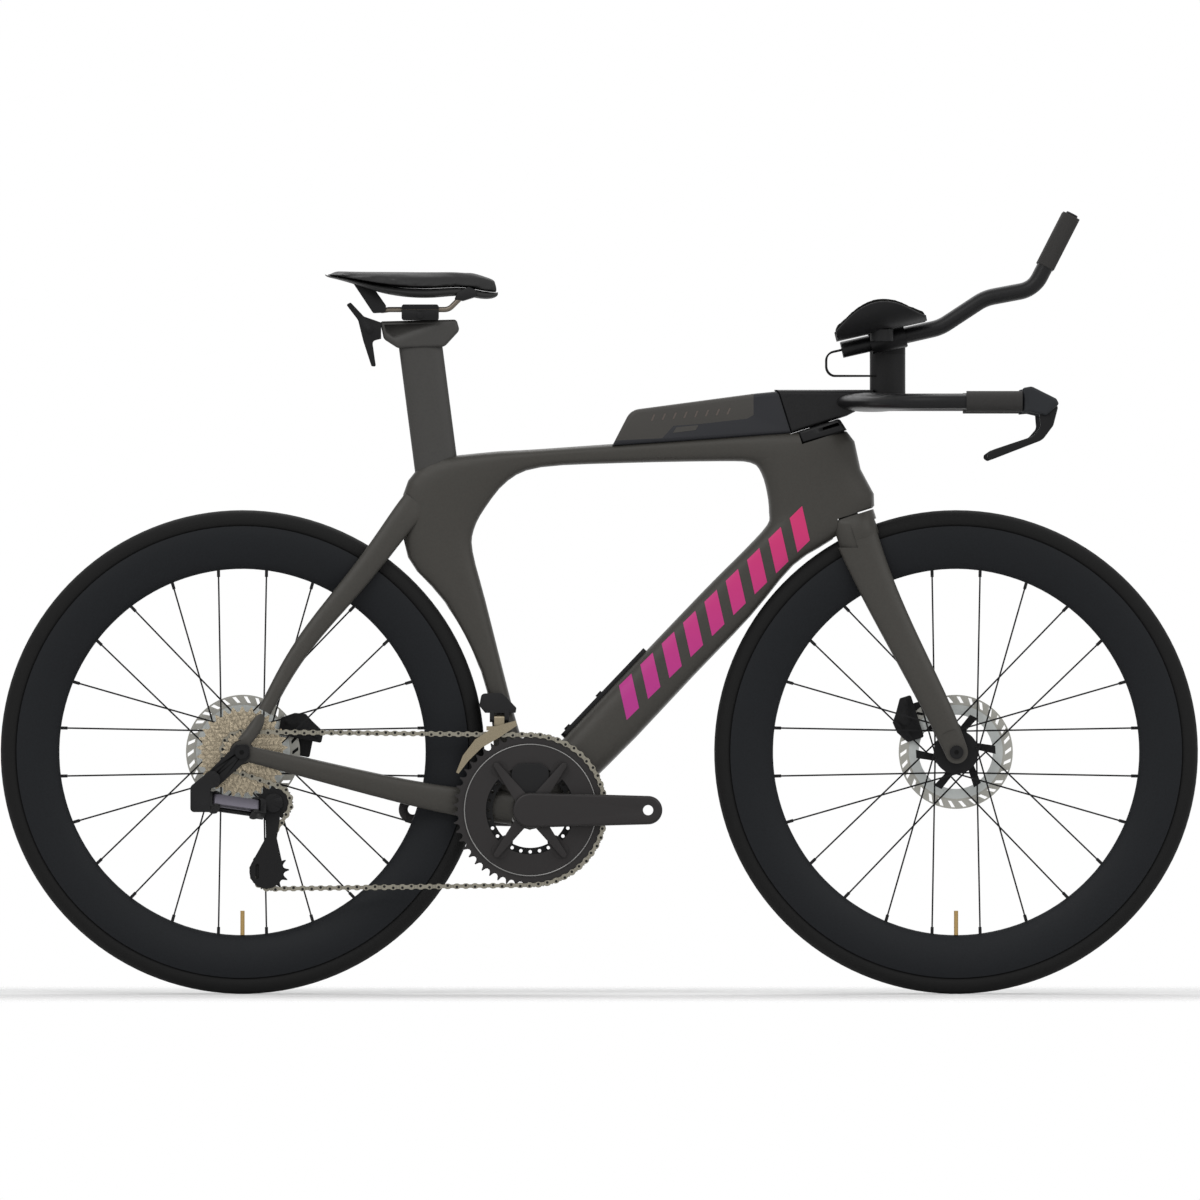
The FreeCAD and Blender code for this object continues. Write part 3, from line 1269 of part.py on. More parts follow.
def make_wheel(name, place, strong, weak):
    """The rim, tyre and spokes of a wheel about its own axis."""
    rim = rim_shape()
    solids = []
    room = []
    for hub_end, rim_end in spoke_ends(strong, weak):
        course = (rim_end - hub_end).normalize()
        neck = rim_end - course * float(d.nipple_length)
        solids.append(bar_between(hub_end, neck, d.spoke_width, d.spoke_thickness))
        nipple = bar_between(neck, rim_end, d.nipple_radius * 2, d.nipple_radius * 2)
        solids.append(nipple)
        room.append(nipple)
    valve_top = wheel_point(d.rim_radius - d.rim_depth - d.fit_gap, -FULL_TURN / 4)
    valve = Part.makeCylinder(float(d.valve_radius), float(d.valve_length), valve_top, UP)
    for nipple in room:
        rim = rim.cut(nipple)
    feature(name + "_rim", rim.translated(place))
    feature(name + "_spokes", Part.makeCompound(solids).translated(place))
    ring = d.tyre_radius - d.tyre_width / 2
    casing = Part.makeTorus(float(ring), float(d.tyre_width) / 2, ORIGIN, SIDE)
    casing = casing.cut(Part.makeTorus(float(ring), float(d.tyre_width / 2 - d.tyre_wall), ORIGIN, SIDE))
    feature(name + "_tyre", Part.makeCompound([casing, valve]).translated(place))


def hub_outline(steps, bore):
    """A stepped outline from right to left: the place where each step starts, and its radius."""
    outline = [(bore, steps[0][0])]
    for index, (start, radius) in enumerate(steps[:-1]):
        outline.append((radius, start))
        outline.append((radius, steps[index + 1][0]))
    outline.append((bore, steps[-1][0]))
    return outline


def make_hubs():
    bore = d.axle_radius + d.fit_gap
    half = d.flange_width / 2
    end = d.front_spacing / 2 - d.running_gap
    flange = d.front_flange_offset
    boss = d.front_spacing / 2 - d.rotor_inset - d.rotor_boss_width / 2
    turned_body("front_hub", hub_outline([
        (-end, d.end_cap_radius), (d.hub_end_width - end, d.hub_barrel_radius),
        (-flange - half, d.flange_radius), (half - flange, d.hub_barrel_radius),
        (flange - half, d.flange_radius), (flange + half, d.hub_barrel_radius),
        (boss, d.rotor_bore_radius - d.fit_gap), (boss + d.rotor_boss_width, d.end_cap_radius), (end, None),
    ], bore), FRONT)
    end = d.rear_spacing / 2 - d.running_gap
    right = d.rear_right_flange_offset
    left = d.rear_left_flange_offset
    boss = d.rear_spacing / 2 - d.rotor_inset - d.rotor_boss_width / 2
    turned_body("rear_hub", hub_outline([
        (d.running_gap - d.freehub_start, d.freehub_radius), (-right - half, d.flange_radius),
        (half - right, d.hub_barrel_radius), (left - half, d.flange_radius),
        (left + half, d.hub_barrel_radius),
        (boss, d.rotor_bore_radius - d.fit_gap), (boss + d.rotor_boss_width, d.end_cap_radius), (end, None),
    ], bore), REAR)


# A slot of the rotor and an arm of its carrier: distance out and angle of each corner.
SLOT_SHARES = ((0.865, -3.2), (0.972, 1.6), (0.972, 5.2), (0.865, 0.6))
ARM_SHARES = ((0.28, 12), (0.28, 40), (0.70, 9), (0.70, -3))


def pad_ring(body, label, outer, inner, length):
    sketch = sketch_on(body, "XZ_Plane", label + "_circles")
    draw_circle(sketch, (0, 0), outer)
    draw_circle(sketch, (0, 0), inner)
    pad = body.newObject("PartDesign::Pad", label + "_pad")
    pad.Profile = sketch
    pad.SideType = "Symmetric"
    bind(pad, "Length", length)
    return pad


def make_rotor(label, place):
    """A brake rotor: the slotted band, its cooling ring, the arms and the ring that sits on the hub."""
    body = add_body(label)
    inner = d.rotor_radius - d.rotor_band
    pad_ring(body, label + "_band", d.rotor_radius, inner, d.rotor_thickness)
    pad_ring(body, label + "_cooling", inner + d.cooling_ring_lap, inner - d.cooling_ring,
             d.cooling_ring_thickness)
    slot = sketch_on(body, "XZ_Plane", label + "_slot")
    draw_polygon(slot, polar_corners(SLOT_SHARES, d.rotor_radius))
    pocket = body.newObject("PartDesign::Pocket", label + "_slot_pocket")
    pocket.Profile = slot
    pocket.Type = "ThroughAll"
    pocket.SideType = "Symmetric"
    repeat_round(body, label + "_slots", pocket, d.rotor_slots)
    arm = pad_outline(body, label + "_arm", polar_corners(ARM_SHARES, d.rotor_radius), d.rotor_thickness)
    repeat_round(body, label + "_arms", arm, d.rotor_arms)
    body.Tip = pad_ring(body, label + "_carrier", d.rotor_bore_radius + d.carrier_ring, d.rotor_bore_radius,
                        d.rotor_thickness)
    body.Placement.Base = place
    return keep(body, label)


def polar_corners(shares, radius):
    corners = []
    for out, angle in shares:
        turn = math.radians(angle)
        corners.append((radius * (out * math.cos(turn)), radius * (out * math.sin(turn))))
    return corners


# Corners of a caliper seen from the side, in shares of half its length and half its depth.
CALIPER_SHARES = (
    (1, 1), (1, 0.1), (0.4, -0.55), (0.05, -1), (-0.45, -0.9), (-1, -0.35), (-1, 1),
)
CALIPER_BOLT_SHARES = ((0.72, 0.5), (-0.66, -0.1))
CALIPER_FOOT_SHARES = ((0.6, 0.4), (0.6, 2.3), (-0.8, 2.3), (-0.8, 0.4))


def caliper(centre, course, axle, rotor_side, holder):
    """A brake caliper with piston caps, bolts and a rotor slot, and a foot on the piece that holds it."""
    across = SIDE.cross(course)
    long = course * (float(d.caliper_length) / 2)
    deep = across * (float(d.caliper_depth) / 2)
    corners = [centre + long * along + deep * aside for along, aside in CALIPER_SHARES]
    half = (d.caliper_inner + d.caliper_outer) / 2
    middle = rotor_side - d.caliper_inner + half
    shape = soften(slab(corners, [d.caliper_corner for corner in corners], half, middle), d.caliper_rim)
    reach = half + d.piston_cap_height
    shape = shape.fuse(along_y(d.piston_cap_radius, middle - reach, middle + reach, centre))
    for along, aside in CALIPER_BOLT_SHARES:
        place = centre + long * along + deep * aside
        shape = shape.fuse(along_y(d.caliper_bolt_radius, middle - reach, middle + reach, place))
    corners = [centre + long * along + deep * aside for along, aside in CALIPER_FOOT_SHARES]
    half = (d.caliper_outer - d.caliper_slot) / 2
    foot = slab(corners, [d.caliper_corner for corner in corners], half, rotor_side + d.caliper_outer - half)
    shape = shape.fuse(foot)
    shape = shape.cut(along_y(d.rotor_radius + d.caliper_edge, rotor_side - d.caliper_slot / 2,
                              rotor_side + d.caliper_slot / 2, axle))
    return shape.cut(holder)


def make_calipers(fork, frame):
    side = d.front_spacing / 2 - d.rotor_inset
    centre = FRONT - AHEAD * float(d.front_caliper_back) + UP * float(d.front_caliper_up)
    feature("front_caliper", caliper(centre, STEER_UP, FRONT, side, fork))
    side = d.rear_spacing / 2 - d.rotor_inset
    centre = REAR + AHEAD * float(d.rear_caliper_ahead) + UP * float(d.rear_caliper_up)
    course = (CRANK - REAR).normalize()
    feature("rear_caliper", caliper(centre, course, REAR, side, frame))


SEAT_CORNER_SHARES = (-1.0, -0.35, 0.35, 1.0)
SEAT_ANGLE = 62
PLAIN_SEAT_ANGLE = 30


def pitch_radius(teeth):
    return float(d.pitch) / (2 * math.sin(math.pi / float(teeth)))


def sprocket(teeth, bore, width, phase, seated):
    """A toothed plate about Y: one gap between teeth lies at the phase angle, round where a roller sits."""
    teeth = int(teeth)
    pitch = pitch_radius(teeth)
    seat = float(d.roller_radius + d.seat_gap)
    step = 2 * math.pi / teeth
    corners = []
    for index in range(teeth):
        angle = phase + index * step
        if seated:
            grow = seat / math.cos(math.radians(SEAT_ANGLE * SEAT_CORNER_SHARES[2]))
            for share in SEAT_CORNER_SHARES:
                turn = math.radians(SEAT_ANGLE * share)
                out = pitch - grow * math.cos(turn)
                corners.append(ring_corner(out, angle + grow * math.sin(turn) / pitch))
        else:
            reach = seat * math.sin(math.radians(PLAIN_SEAT_ANGLE)) / pitch
            corners.append(ring_corner(pitch - seat, angle - reach))
            corners.append(ring_corner(pitch - seat, angle + reach))
        tip = pitch + float(d.tooth_height)
        half = float(d.tooth_tip) / 2 / tip
        corners.append(ring_corner(tip, angle + step / 2 - half))
        corners.append(ring_corner(tip, angle + step / 2 + half))
    wire = Part.makePolygon(corners + corners[:1])
    plate = Part.Face(wire).extrude(SIDE * float(width))
    plate.translate(SIDE * (-float(width) / 2))
    return plate.cut(along_y(bore, -width, width, ORIGIN))


def ring_corner(radius, angle):
    return Vector(radius * math.cos(angle), 0, radius * math.sin(angle))


GUIDE = REAR + AHEAD * float(d.guide_ahead) - UP * float(d.guide_drop)
CHAIN_SIDE = -d.ring_offset


def cage_end(angle):
    return GUIDE + ring_corner(float(d.cage_length), angle)


def chain_course(angle):
    """The chain's runs and wraps for one cage angle, in travel order, each with its length in pitches."""
    wheels = [
        (CRANK, d.ring_teeth, 1), (cage_end(angle), d.pulley_teeth, 1), (GUIDE, d.pulley_teeth, -1),
        (REAR, d.drive_cog, 1),
    ]
    headings = []
    for index, (centre, teeth, turn) in enumerate(wheels):
        following, next_teeth, next_turn = wheels[(index + 1) % len(wheels)]
        reach = following - centre
        apart = math.hypot(reach.x, reach.z)
        offset = pitch_radius(teeth) * turn - pitch_radius(next_teeth) * next_turn
        headings.append((math.atan2(reach.z, reach.x) - math.asin(offset / apart),
                         math.sqrt(apart * apart - offset * offset)))
    pieces = []
    for index, (centre, teeth, turn) in enumerate(wheels):
        arriving = headings[index - 1][0]
        leaving, run = headings[index]
        wrap = (turn * (arriving - leaving)) % (2 * math.pi)
        pieces.append(("wrap", centre, teeth, turn, arriving, wrap * float(teeth) / (2 * math.pi)))
        radius = pitch_radius(teeth)
        start = centre + Vector(-math.sin(leaving), 0, math.cos(leaving)) * (radius * turn)
        pieces.append(("run", start, None, None, leaving, run / float(d.pitch)))
    return pieces


# The cage's angle at rest, near which a whole number of links is sought, and the angles tried, in radians.
CAGE_REST_ANGLE = -1.606
CAGE_ANGLE_LIMITS = (-2.6, -1.0)
HALVINGS = 50


def settle_cage():
    """Turns the cage until the chain holds a whole even number of links."""
    low, high = CAGE_ANGLE_LIMITS

    def links(angle):
        return sum(piece[-1] for piece in chain_course(angle))

    wanted = 2 * round(links(CAGE_REST_ANGLE) / 2)
    rising = links(high) > links(low)
    for _ in range(HALVINGS):
        guess = (low + high) / 2
        if (links(guess) < wanted) == rising:
            low = guess
        else:
            high = guess
    return (low + high) / 2, wanted


def roller_places(angle, count):
    """Every roller's place, and the angle of one roller about each wheel the chain wraps."""
    places = []
    phases = {}
    done = 0.0
    for kind, place, teeth, turn, heading, length in chain_course(angle):
        while len(places) < count and len(places) < done + length:
            along = len(places) - done
            if kind == "wrap":
                start = heading + turn * math.pi / 2
                where = start - turn * along * 2 * math.pi / float(teeth)
                places.append(place + ring_corner(pitch_radius(teeth), where))
                phases.setdefault((place.x, place.z), where)
            else:
                course = Vector(math.cos(heading), 0, math.sin(heading))
                places.append(place + course * (along * float(d.pitch)))
        done += length
    return places, phases


CAGE_TURN, LINK_COUNT = settle_cage()
ROLLERS, PHASES = roller_places(CAGE_TURN, LINK_COUNT)
TENSION = cage_end(CAGE_TURN)


def phase_at(place):
    return PHASES[(place.x, place.z)]


PLATE_CORNER_SHARES = ((-1.0, -0.42), (-1.0, 0.42), (-0.42, 1.0), (0.42, 1.0), (1.2, 0.64))
ROLLER_CORNERS = 8


def link_plate(start, end, near, far):
    """A waisted chain plate from one roller to the next, between two side places."""
    course = (end - start).normalize()
    rise = SIDE.cross(course)
    half = float(d.plate_half_height)
    ahead = course * half
    above = rise * half
    corners = [start + ahead * along + above * up for along, up in PLATE_CORNER_SHARES]
    corners += [end - ahead * along + above * up for along, up in reversed(PLATE_CORNER_SHARES)]
    corners += [end - ahead * along - above * up for along, up in PLATE_CORNER_SHARES[2:]]
    corners += [start + ahead * along - above * up for along, up in reversed(PLATE_CORNER_SHARES[2:])]
    face = Part.Face(Part.makePolygon(corners + corners[:1]))
    face.translate(SIDE * float(near))
    return face.extrude(SIDE * (float(far) - float(near)))


def roller(place, start, end):
    corners = []
    for index in range(ROLLER_CORNERS):
        corners.append(place + ring_corner(float(d.roller_radius), 2 * math.pi * index / ROLLER_CORNERS))
    face = Part.Face(Part.makePolygon(corners + corners[:1]))
    face.translate(SIDE * float(start))
    return face.extrude(SIDE * (float(end) - float(start)))


def make_chain():
    """Inner links with two rollers each, joined by outer plates, one pitch each, round the whole course."""
    solids = []
    half = d.link_gap / 2
    wall = half + d.plate_thickness
    outside = wall + d.plate_gap
    for index, start in enumerate(ROLLERS):
        end = ROLLERS[(index + 1) % len(ROLLERS)]
        if index % 2 == 0:
            link = link_plate(start, end, half, wall)
            link = link.fuse(roller(start, -half, half)).fuse(roller(end, -half, half))
            solids.append(link.fuse(link_plate(start, end, -wall, -half)))
        else:
            solids.append(link_plate(start, end, outside, outside + d.plate_thickness))
            solids.append(link_plate(start, end, -outside - d.plate_thickness, -outside))
    chain = Part.makeCompound(solids)
    feature("chain", chain.translated(SIDE * float(CHAIN_SIDE)))


def make_cassette():
    """The freehub and its cogs, smallest outermost. The chain runs on the drive cog."""
    end = d.rear_spacing / 2 - d.running_gap
    drive = COG_TEETH.index(int(d.drive_cog))
    outermost = CHAIN_SIDE - d.cog_spacing * (drive + 1)
    freehub = along_y(d.freehub_radius, outermost, -d.freehub_start, REAR)
    freehub = freehub.fuse(along_y(d.end_cap_radius, -end, outermost, REAR))
    solids = [freehub.cut(along_y(d.axle_radius + d.fit_gap, -d.rear_spacing, 0, REAR))]
    for index, teeth in enumerate(COG_TEETH):
        chained = index == drive
        phase = phase_at(REAR) if chained else 0
        cog = sprocket(teeth, d.freehub_radius + d.fit_gap, d.cog_width, phase, chained)
        side = CHAIN_SIDE + d.cog_spacing * (index - drive)
        solids.append(cog.translated(REAR + SIDE * float(side)))
    feature("cassette", Part.makeCompound(solids))


def belt(first, first_radius, second, second_radius):
    """The outline round two circles in the side view."""
    course = second - first
    apart = math.hypot(course.x, course.z)
    heading = math.atan2(course.z, course.x)
    lean = math.acos((float(first_radius) - float(second_radius)) / apart)

    def at(centre, radius, angle):
        return centre + ring_corner(float(radius), angle)

    first_high = at(first, first_radius, heading + lean)
    first_low = at(first, first_radius, heading - lean)
    second_high = at(second, second_radius, heading + lean)
    second_low = at(second, second_radius, heading - lean)
    edges = [
        Part.Arc(first_high, at(first, first_radius, heading + math.pi), first_low).toShape(),
        Part.LineSegment(first_low, second_low).toShape(),
        Part.Arc(second_low, at(second, second_radius, heading), second_high).toShape(),
        Part.LineSegment(second_high, first_high).toShape(),
    ]
    return Part.Face(Part.Wire(edges))


def belt_slab(first, first_radius, second, second_radius, start, end):
    face = belt(spot(first.x, 0, first.z), first_radius, spot(second.x, 0, second.z), second_radius)
    face.translate(SIDE * float(start))
    return face.extrude(SIDE * (float(end) - float(start)))


def spider_angles():
    lean = math.radians(d.spider_angle)
    return [lean, math.pi - lean, math.pi + lean, -lean]


def bolt_places():
    return [CRANK + ring_corner(float(d.spider_radius), angle) for angle in spider_angles()]


def crank_arm(course, inner, outer):
    end = CRANK + AHEAD * (course * float(d.crank_length))
    arm = soften(belt_slab(CRANK, d.crank_root_radius, end, d.crank_end_radius, min(inner, outer),
                           max(inner, outer)), d.crank_edge)
    return arm.cut(along_y(d.pedal_thread_radius, inner, outer, end))


def make_cranks():
    """The right crank with its spider and bolts, the left crank, and the spindle that joins them."""
    inner = -d.crank_inner
    outer = inner - d.crank_thickness
    start = -d.shell_width / 2 - d.cup_flange_width - d.running_gap
    arm = crank_arm(1, inner, outer)
    arm = arm.fuse(along_y(d.crank_root_radius, inner - d.crank_edge, start, CRANK))
    for angle in spider_angles():
        tip = CRANK + ring_corner(float(d.spider_reach), angle)
        arm = arm.fuse(belt_slab(CRANK, d.spider_root, tip, d.spider_tip, inner - d.crank_edge / 2,
                                 -d.spider_inner))
    back = CHAIN_SIDE + d.ring_spacing + d.tooth_width
    for place in bolt_places():
        arm = arm.fuse(along_y(d.bolt_radius, -d.spider_inner - d.crank_edge, back, place))
    spindle_end = d.crank_inner + d.crank_thickness / 2
    bore = along_y(d.spindle_radius + d.fit_gap, -spindle_end, spindle_end, CRANK)
    arm = arm.cut(bore)
    feature("crank_right", arm)
    left = crank_arm(-1, -inner, -outer)
    left = left.fuse(along_y(d.crank_root_radius, -inner + d.crank_edge, -start, CRANK))
    feature("crank_left", left.cut(bore))
    half = spindle_end - d.running_gap
    feature("crank_spindle", along_y(d.spindle_radius, -half, half, CRANK))
    return arm


def ring_hole_places():
    """The row of holes in the inner ring, left out where its tabs are."""
    places = []
    for index in range(int(d.ring_holes)):
        place = CRANK + ring_corner(float(d.ring_hole_reach), 2 * math.pi * index / float(d.ring_holes))
        nearest = min(place.distanceToPoint(bolt) for bolt in bolt_places())
        if nearest > float(d.tab_radius + d.ring_hole_radius):
            places.append(place)
    return places


def make_chainrings():
    """The outer ring with its dished face and the inner ring, both held by tabs at the spider's bolts."""
    outer = sprocket(d.ring_teeth, d.dish_bore, d.tooth_width, phase_at(CRANK), True)
    face = -d.tooth_width / 2
    rim = d.dish_radius
    low = face - d.dish_depth
    corners = [spot(rim, face, 0), spot(rim, face - d.dish_wall / 2, 0), spot(d.dish_bore, low, 0),
               spot(d.dish_bore, face, 0)]
    dish = Part.Face(Part.makePolygon(corners + corners[:1])).revolve(ORIGIN, SIDE, FULL_TURN)
    outer = outer.fuse(dish).translated(CRANK + SIDE * float(CHAIN_SIDE))
    inner = sprocket(d.inner_ring_teeth, d.inner_ring_bore, d.tooth_width, 0, False)
    inner = inner.translated(CRANK + SIDE * float(CHAIN_SIDE + d.ring_spacing))
    for place in ring_hole_places():
        inner = inner.cut(along_y(d.ring_hole_radius, CHAIN_SIDE, 0, place))
    side = float(CHAIN_SIDE)
    for angle, place in zip(spider_angles(), bolt_places()):
        root = CRANK + ring_corner(float(d.dish_bore + d.tab_radius), angle)
        outer = outer.fuse(belt_slab(place, d.tab_radius, root, d.tab_radius + d.dish_wall,
                                     side + low, side + face + d.tooth_width))
        near = CRANK + ring_corner(float(d.ring_hole_reach + d.bolt_radius), angle)
        inner = inner.fuse(belt_slab(place, d.tab_radius, near, d.tab_radius - d.dish_wall,
                                     side + d.ring_spacing - d.tooth_width / 2,
                                     side + d.ring_spacing + d.tooth_width / 2))
    for place in bolt_places():
        hole = along_y(d.bolt_radius + d.fit_gap, -d.crank_inner, 0, place)
        outer = outer.cut(hole)
        inner = inner.cut(hole)
    feature("chainring_outer", outer)
    feature("chainring_inner", inner)


POD_SHARES = ((-0.30, 0.30), (-0.46, 0.95), (0.46, 0.95), (0.30, 0.30))
POD_ROUND_SHARES = (0.12, 0.25, 0.25, 0.12)


def make_pod(crank):
    """The power meter's pod between the spider's two upper arms."""
    unit = d.spider_reach - d.tab_radius
    shape = slab(side_places(CRANK, POD_SHARES, unit), scaled(POD_ROUND_SHARES, unit), d.pod_thickness / 2,
                 -d.spider_inner - d.pod_thickness / 2 - d.running_gap)
    feature("power_meter_pod", soften(shape, d.pod_thickness / 5).cut(crank))


LINK_TILT = math.radians(d.link_tilt)
LINK_AXIS = Vector(0, math.cos(LINK_TILT), math.sin(LINK_TILT))
LINK_SLIDE = AHEAD.cross(LINK_AXIS) * -1
LINK_LEAN = math.radians(d.link_lean)
LINK_COURSE = AHEAD * math.cos(LINK_LEAN) + LINK_SLIDE * math.sin(LINK_LEAN)
LINK_ACROSS = LINK_AXIS.cross(LINK_COURSE)
MOUNT_PIN = REAR + spot(-d.mount_pin_back, -d.mount_pin_side, -d.mount_pin_down)


def link_pins():
    """The four pins of the derailleur's linkage: outer and inner at the mount, then at the cage."""
    course = LINK_COURSE * float(d.link_length)
    across = LINK_ACROSS * float(d.link_spacing)
    return MOUNT_PIN, MOUNT_PIN + across, MOUNT_PIN + course, MOUNT_PIN + course + across


def linkage_frame(place):
    """Turns a piece drawn in the side view so that its Y runs along the linkage's pins."""
    return FreeCAD.Placement(place, FreeCAD.Rotation(LINK_COURSE, LINK_AXIS, LINK_ACROSS * -1, "XYZ"))


def placed(shape, placement):
    moved = shape.copy()
    moved.Placement = placement.multiply(moved.Placement)
    return moved


def knuckle_lugs(outer_pin, way):
    """Two lugs that hold a pair of pins, joined by a web on the side away from the links."""
    half = float(d.link_height) / 2 + float(d.running_gap)
    top = half + float(d.lug_height)
    reach = UP * -float(d.link_spacing)
    shape = belt_slab(ORIGIN, d.lug_radius, reach, d.lug_radius - d.fit_gap, half, top)
    shape = shape.fuse(belt_slab(ORIGIN, d.lug_radius, reach, d.lug_radius - d.fit_gap, -top, -half))
    start = way * float(d.lug_radius) if way > 0 else way * float(d.lug_radius) - float(d.web_depth)
    web = Part.makeBox(float(d.web_depth), 2 * top, float(d.link_spacing) + float(d.lug_radius),
                       Vector(start, -top, reach.z - float(d.lug_radius) / 2))
    joint = Part.makeBox(float(d.lug_radius), 2 * top, float(d.link_spacing) + float(d.lug_radius),
                         Vector(min(0, way * float(d.lug_radius)), -top, reach.z - float(d.lug_radius) / 2))
    middle = Part.makeBox(4 * float(d.lug_radius), 2 * half, 4 * float(d.link_spacing),
                          Vector(-2 * float(d.lug_radius), -half, -3 * float(d.link_spacing)))
    shape = shape.fuse(joint.cut(middle))
    shape = shape.fuse(web)
    for place in (ORIGIN, reach):
        shape = shape.fuse(along_y(d.link_pin_radius, -top, top, place))
    return placed(shape, linkage_frame(outer_pin))


def make_link(label, start):
    far = AHEAD * float(d.link_length)
    half = d.link_height / 2
    shape = belt_slab(ORIGIN, d.link_radius, far, d.link_radius - d.fit_gap, -half, half)
    for place in (ORIGIN, far):
        shape = shape.cut(along_y(d.link_pin_radius + d.fit_gap, -d.link_height, d.link_height, place))
    feature(label, placed(shape, linkage_frame(start)))


MOTOR_SHARES = ((-0.62, -0.95), (-0.62, -0.2), (-0.25, 0.1), (-0.04, 0.1), (-0.04, -0.95))
MOTOR_ROUND_SHARES = (0.12, 0.15, 0.06, 0.02, 0.06)


# Where the cage is narrowest, as a share of the way from its guide pulley to its tension pulley.
CAGE_WAIST_SHARE = 0.52


def cage_side(start):
    """One side plate of the cage: a narrow waist, and a wide foot with a window by the tension pulley."""
    end = start + d.cage_plate
    waist = GUIDE + (TENSION - GUIDE) * CAGE_WAIST_SHARE
    foot = TENSION - AHEAD * float(d.cage_foot_back)
    shape = belt_slab(GUIDE, d.cage_half_width, waist, d.cage_waist, start, end)
    shape = shape.fuse(belt_slab(waist, d.cage_waist, foot, d.cage_foot_radius, start, end))
    low = TENSION - AHEAD * float(d.cage_window_back) - UP * float(d.cage_window_half)
    high = TENSION - AHEAD * float(d.cage_window_back) + UP * float(d.cage_window_half)
    return shape.cut(belt_slab(low, d.cage_window_radius, high, d.cage_window_radius, start, end))


def make_rear_derailleur():
    """A parallelogram rear derailleur: its mount, two links, the cage knuckle, the cage and two pulleys."""
    outer_mount, inner_mount, outer_cage, inner_cage = link_pins()
    bolt = REAR - AHEAD * float(d.hanger_back) - UP * float(d.hanger_down)
    face = -d.rear_spacing / 2 - d.dropout_width - d.hanger_width
    unit = d.mount_radius * 4
    motor = slab(side_places(bolt, MOTOR_SHARES, unit), scaled(MOTOR_ROUND_SHARES, unit), d.mount_width / 2,
                 face - d.mount_width / 2)
    mount = along_y(d.mount_radius, face - d.mount_width, face, bolt).fuse(motor)
    mount = mount.fuse(along_y(d.hanger_bolt_radius, face, face + d.hanger_width, bolt))
    mount = mount.fuse(knuckle_lugs(outer_mount, -1))
    feature("derailleur_mount", mount)
    make_link("derailleur_outer_link", outer_mount)
    make_link("derailleur_inner_link", inner_mount)
    plate = CHAIN_SIDE - d.cage_gap / 2 - d.cage_plate
    knuckle_face = plate - d.running_gap
    knuckle = along_y(d.knuckle_radius, knuckle_face - d.knuckle_length, knuckle_face, GUIDE)
    knuckle = knuckle.fuse(knuckle_lugs(outer_cage, 1))
    feature("cage_knuckle", knuckle.cut(along_y(d.cage_length, knuckle_face, CHAIN_SIDE, GUIDE)))
    cage = cage_side(plate).fuse(cage_side(CHAIN_SIDE + d.cage_gap / 2))
    for place in (GUIDE, TENSION):
        cage = cage.fuse(along_y(d.pulley_bore, plate, CHAIN_SIDE + d.cage_gap / 2 + d.cage_plate, place))
    feature("derailleur_cage", cage)
    for label, place in (("guide_pulley", GUIDE), ("tension_pulley", TENSION)):
        wheel = sprocket(d.pulley_teeth, d.pulley_bore + d.fit_gap, d.tooth_width, phase_at(place), True)
        feature(label, wheel.translated(place + SIDE * float(CHAIN_SIDE)))


CHANGER_ANGLES = (99, 113, 128, 141, 153)
CHANGER_INNER_SHARES = (0.55, 0.0, 0.0, 0.0, 0.12)
CHANGER_OUTER_SHARES = (1.0, 1.0, 0.9, 0.65, 0.35)
CHANGER_BODY_SHARES = ((-0.56, 0.36), (-0.50, 0.70), (0.08, 0.72), (0.48, 0.30), (0.46, 0.16), (-0.40, 0.16))
CHANGER_ROUND_SHARES = (0.08, 0.12, 0.2, 0.06, 0.03, 0.03)


def changer_plate(start, end):
    """A plate of the front derailleur's cage, bent round the outer chainring."""
    deep = float(d.changer_outer_radius - d.changer_inner_radius)
    low = [CRANK + ring_corner(float(d.changer_inner_radius) + deep * share, math.radians(angle))
           for angle, share in zip(CHANGER_ANGLES, CHANGER_INNER_SHARES)]
    high = [CRANK + ring_corner(float(d.changer_inner_radius) + deep * share, math.radians(angle))
            for angle, share in zip(CHANGER_ANGLES, CHANGER_OUTER_SHARES)]
    corners = [spot(place.x, start, place.z) for place in low + list(reversed(high))]
    return Part.Face(Part.makePolygon(corners + corners[:1])).extrude(SIDE * (float(end) - float(start)))


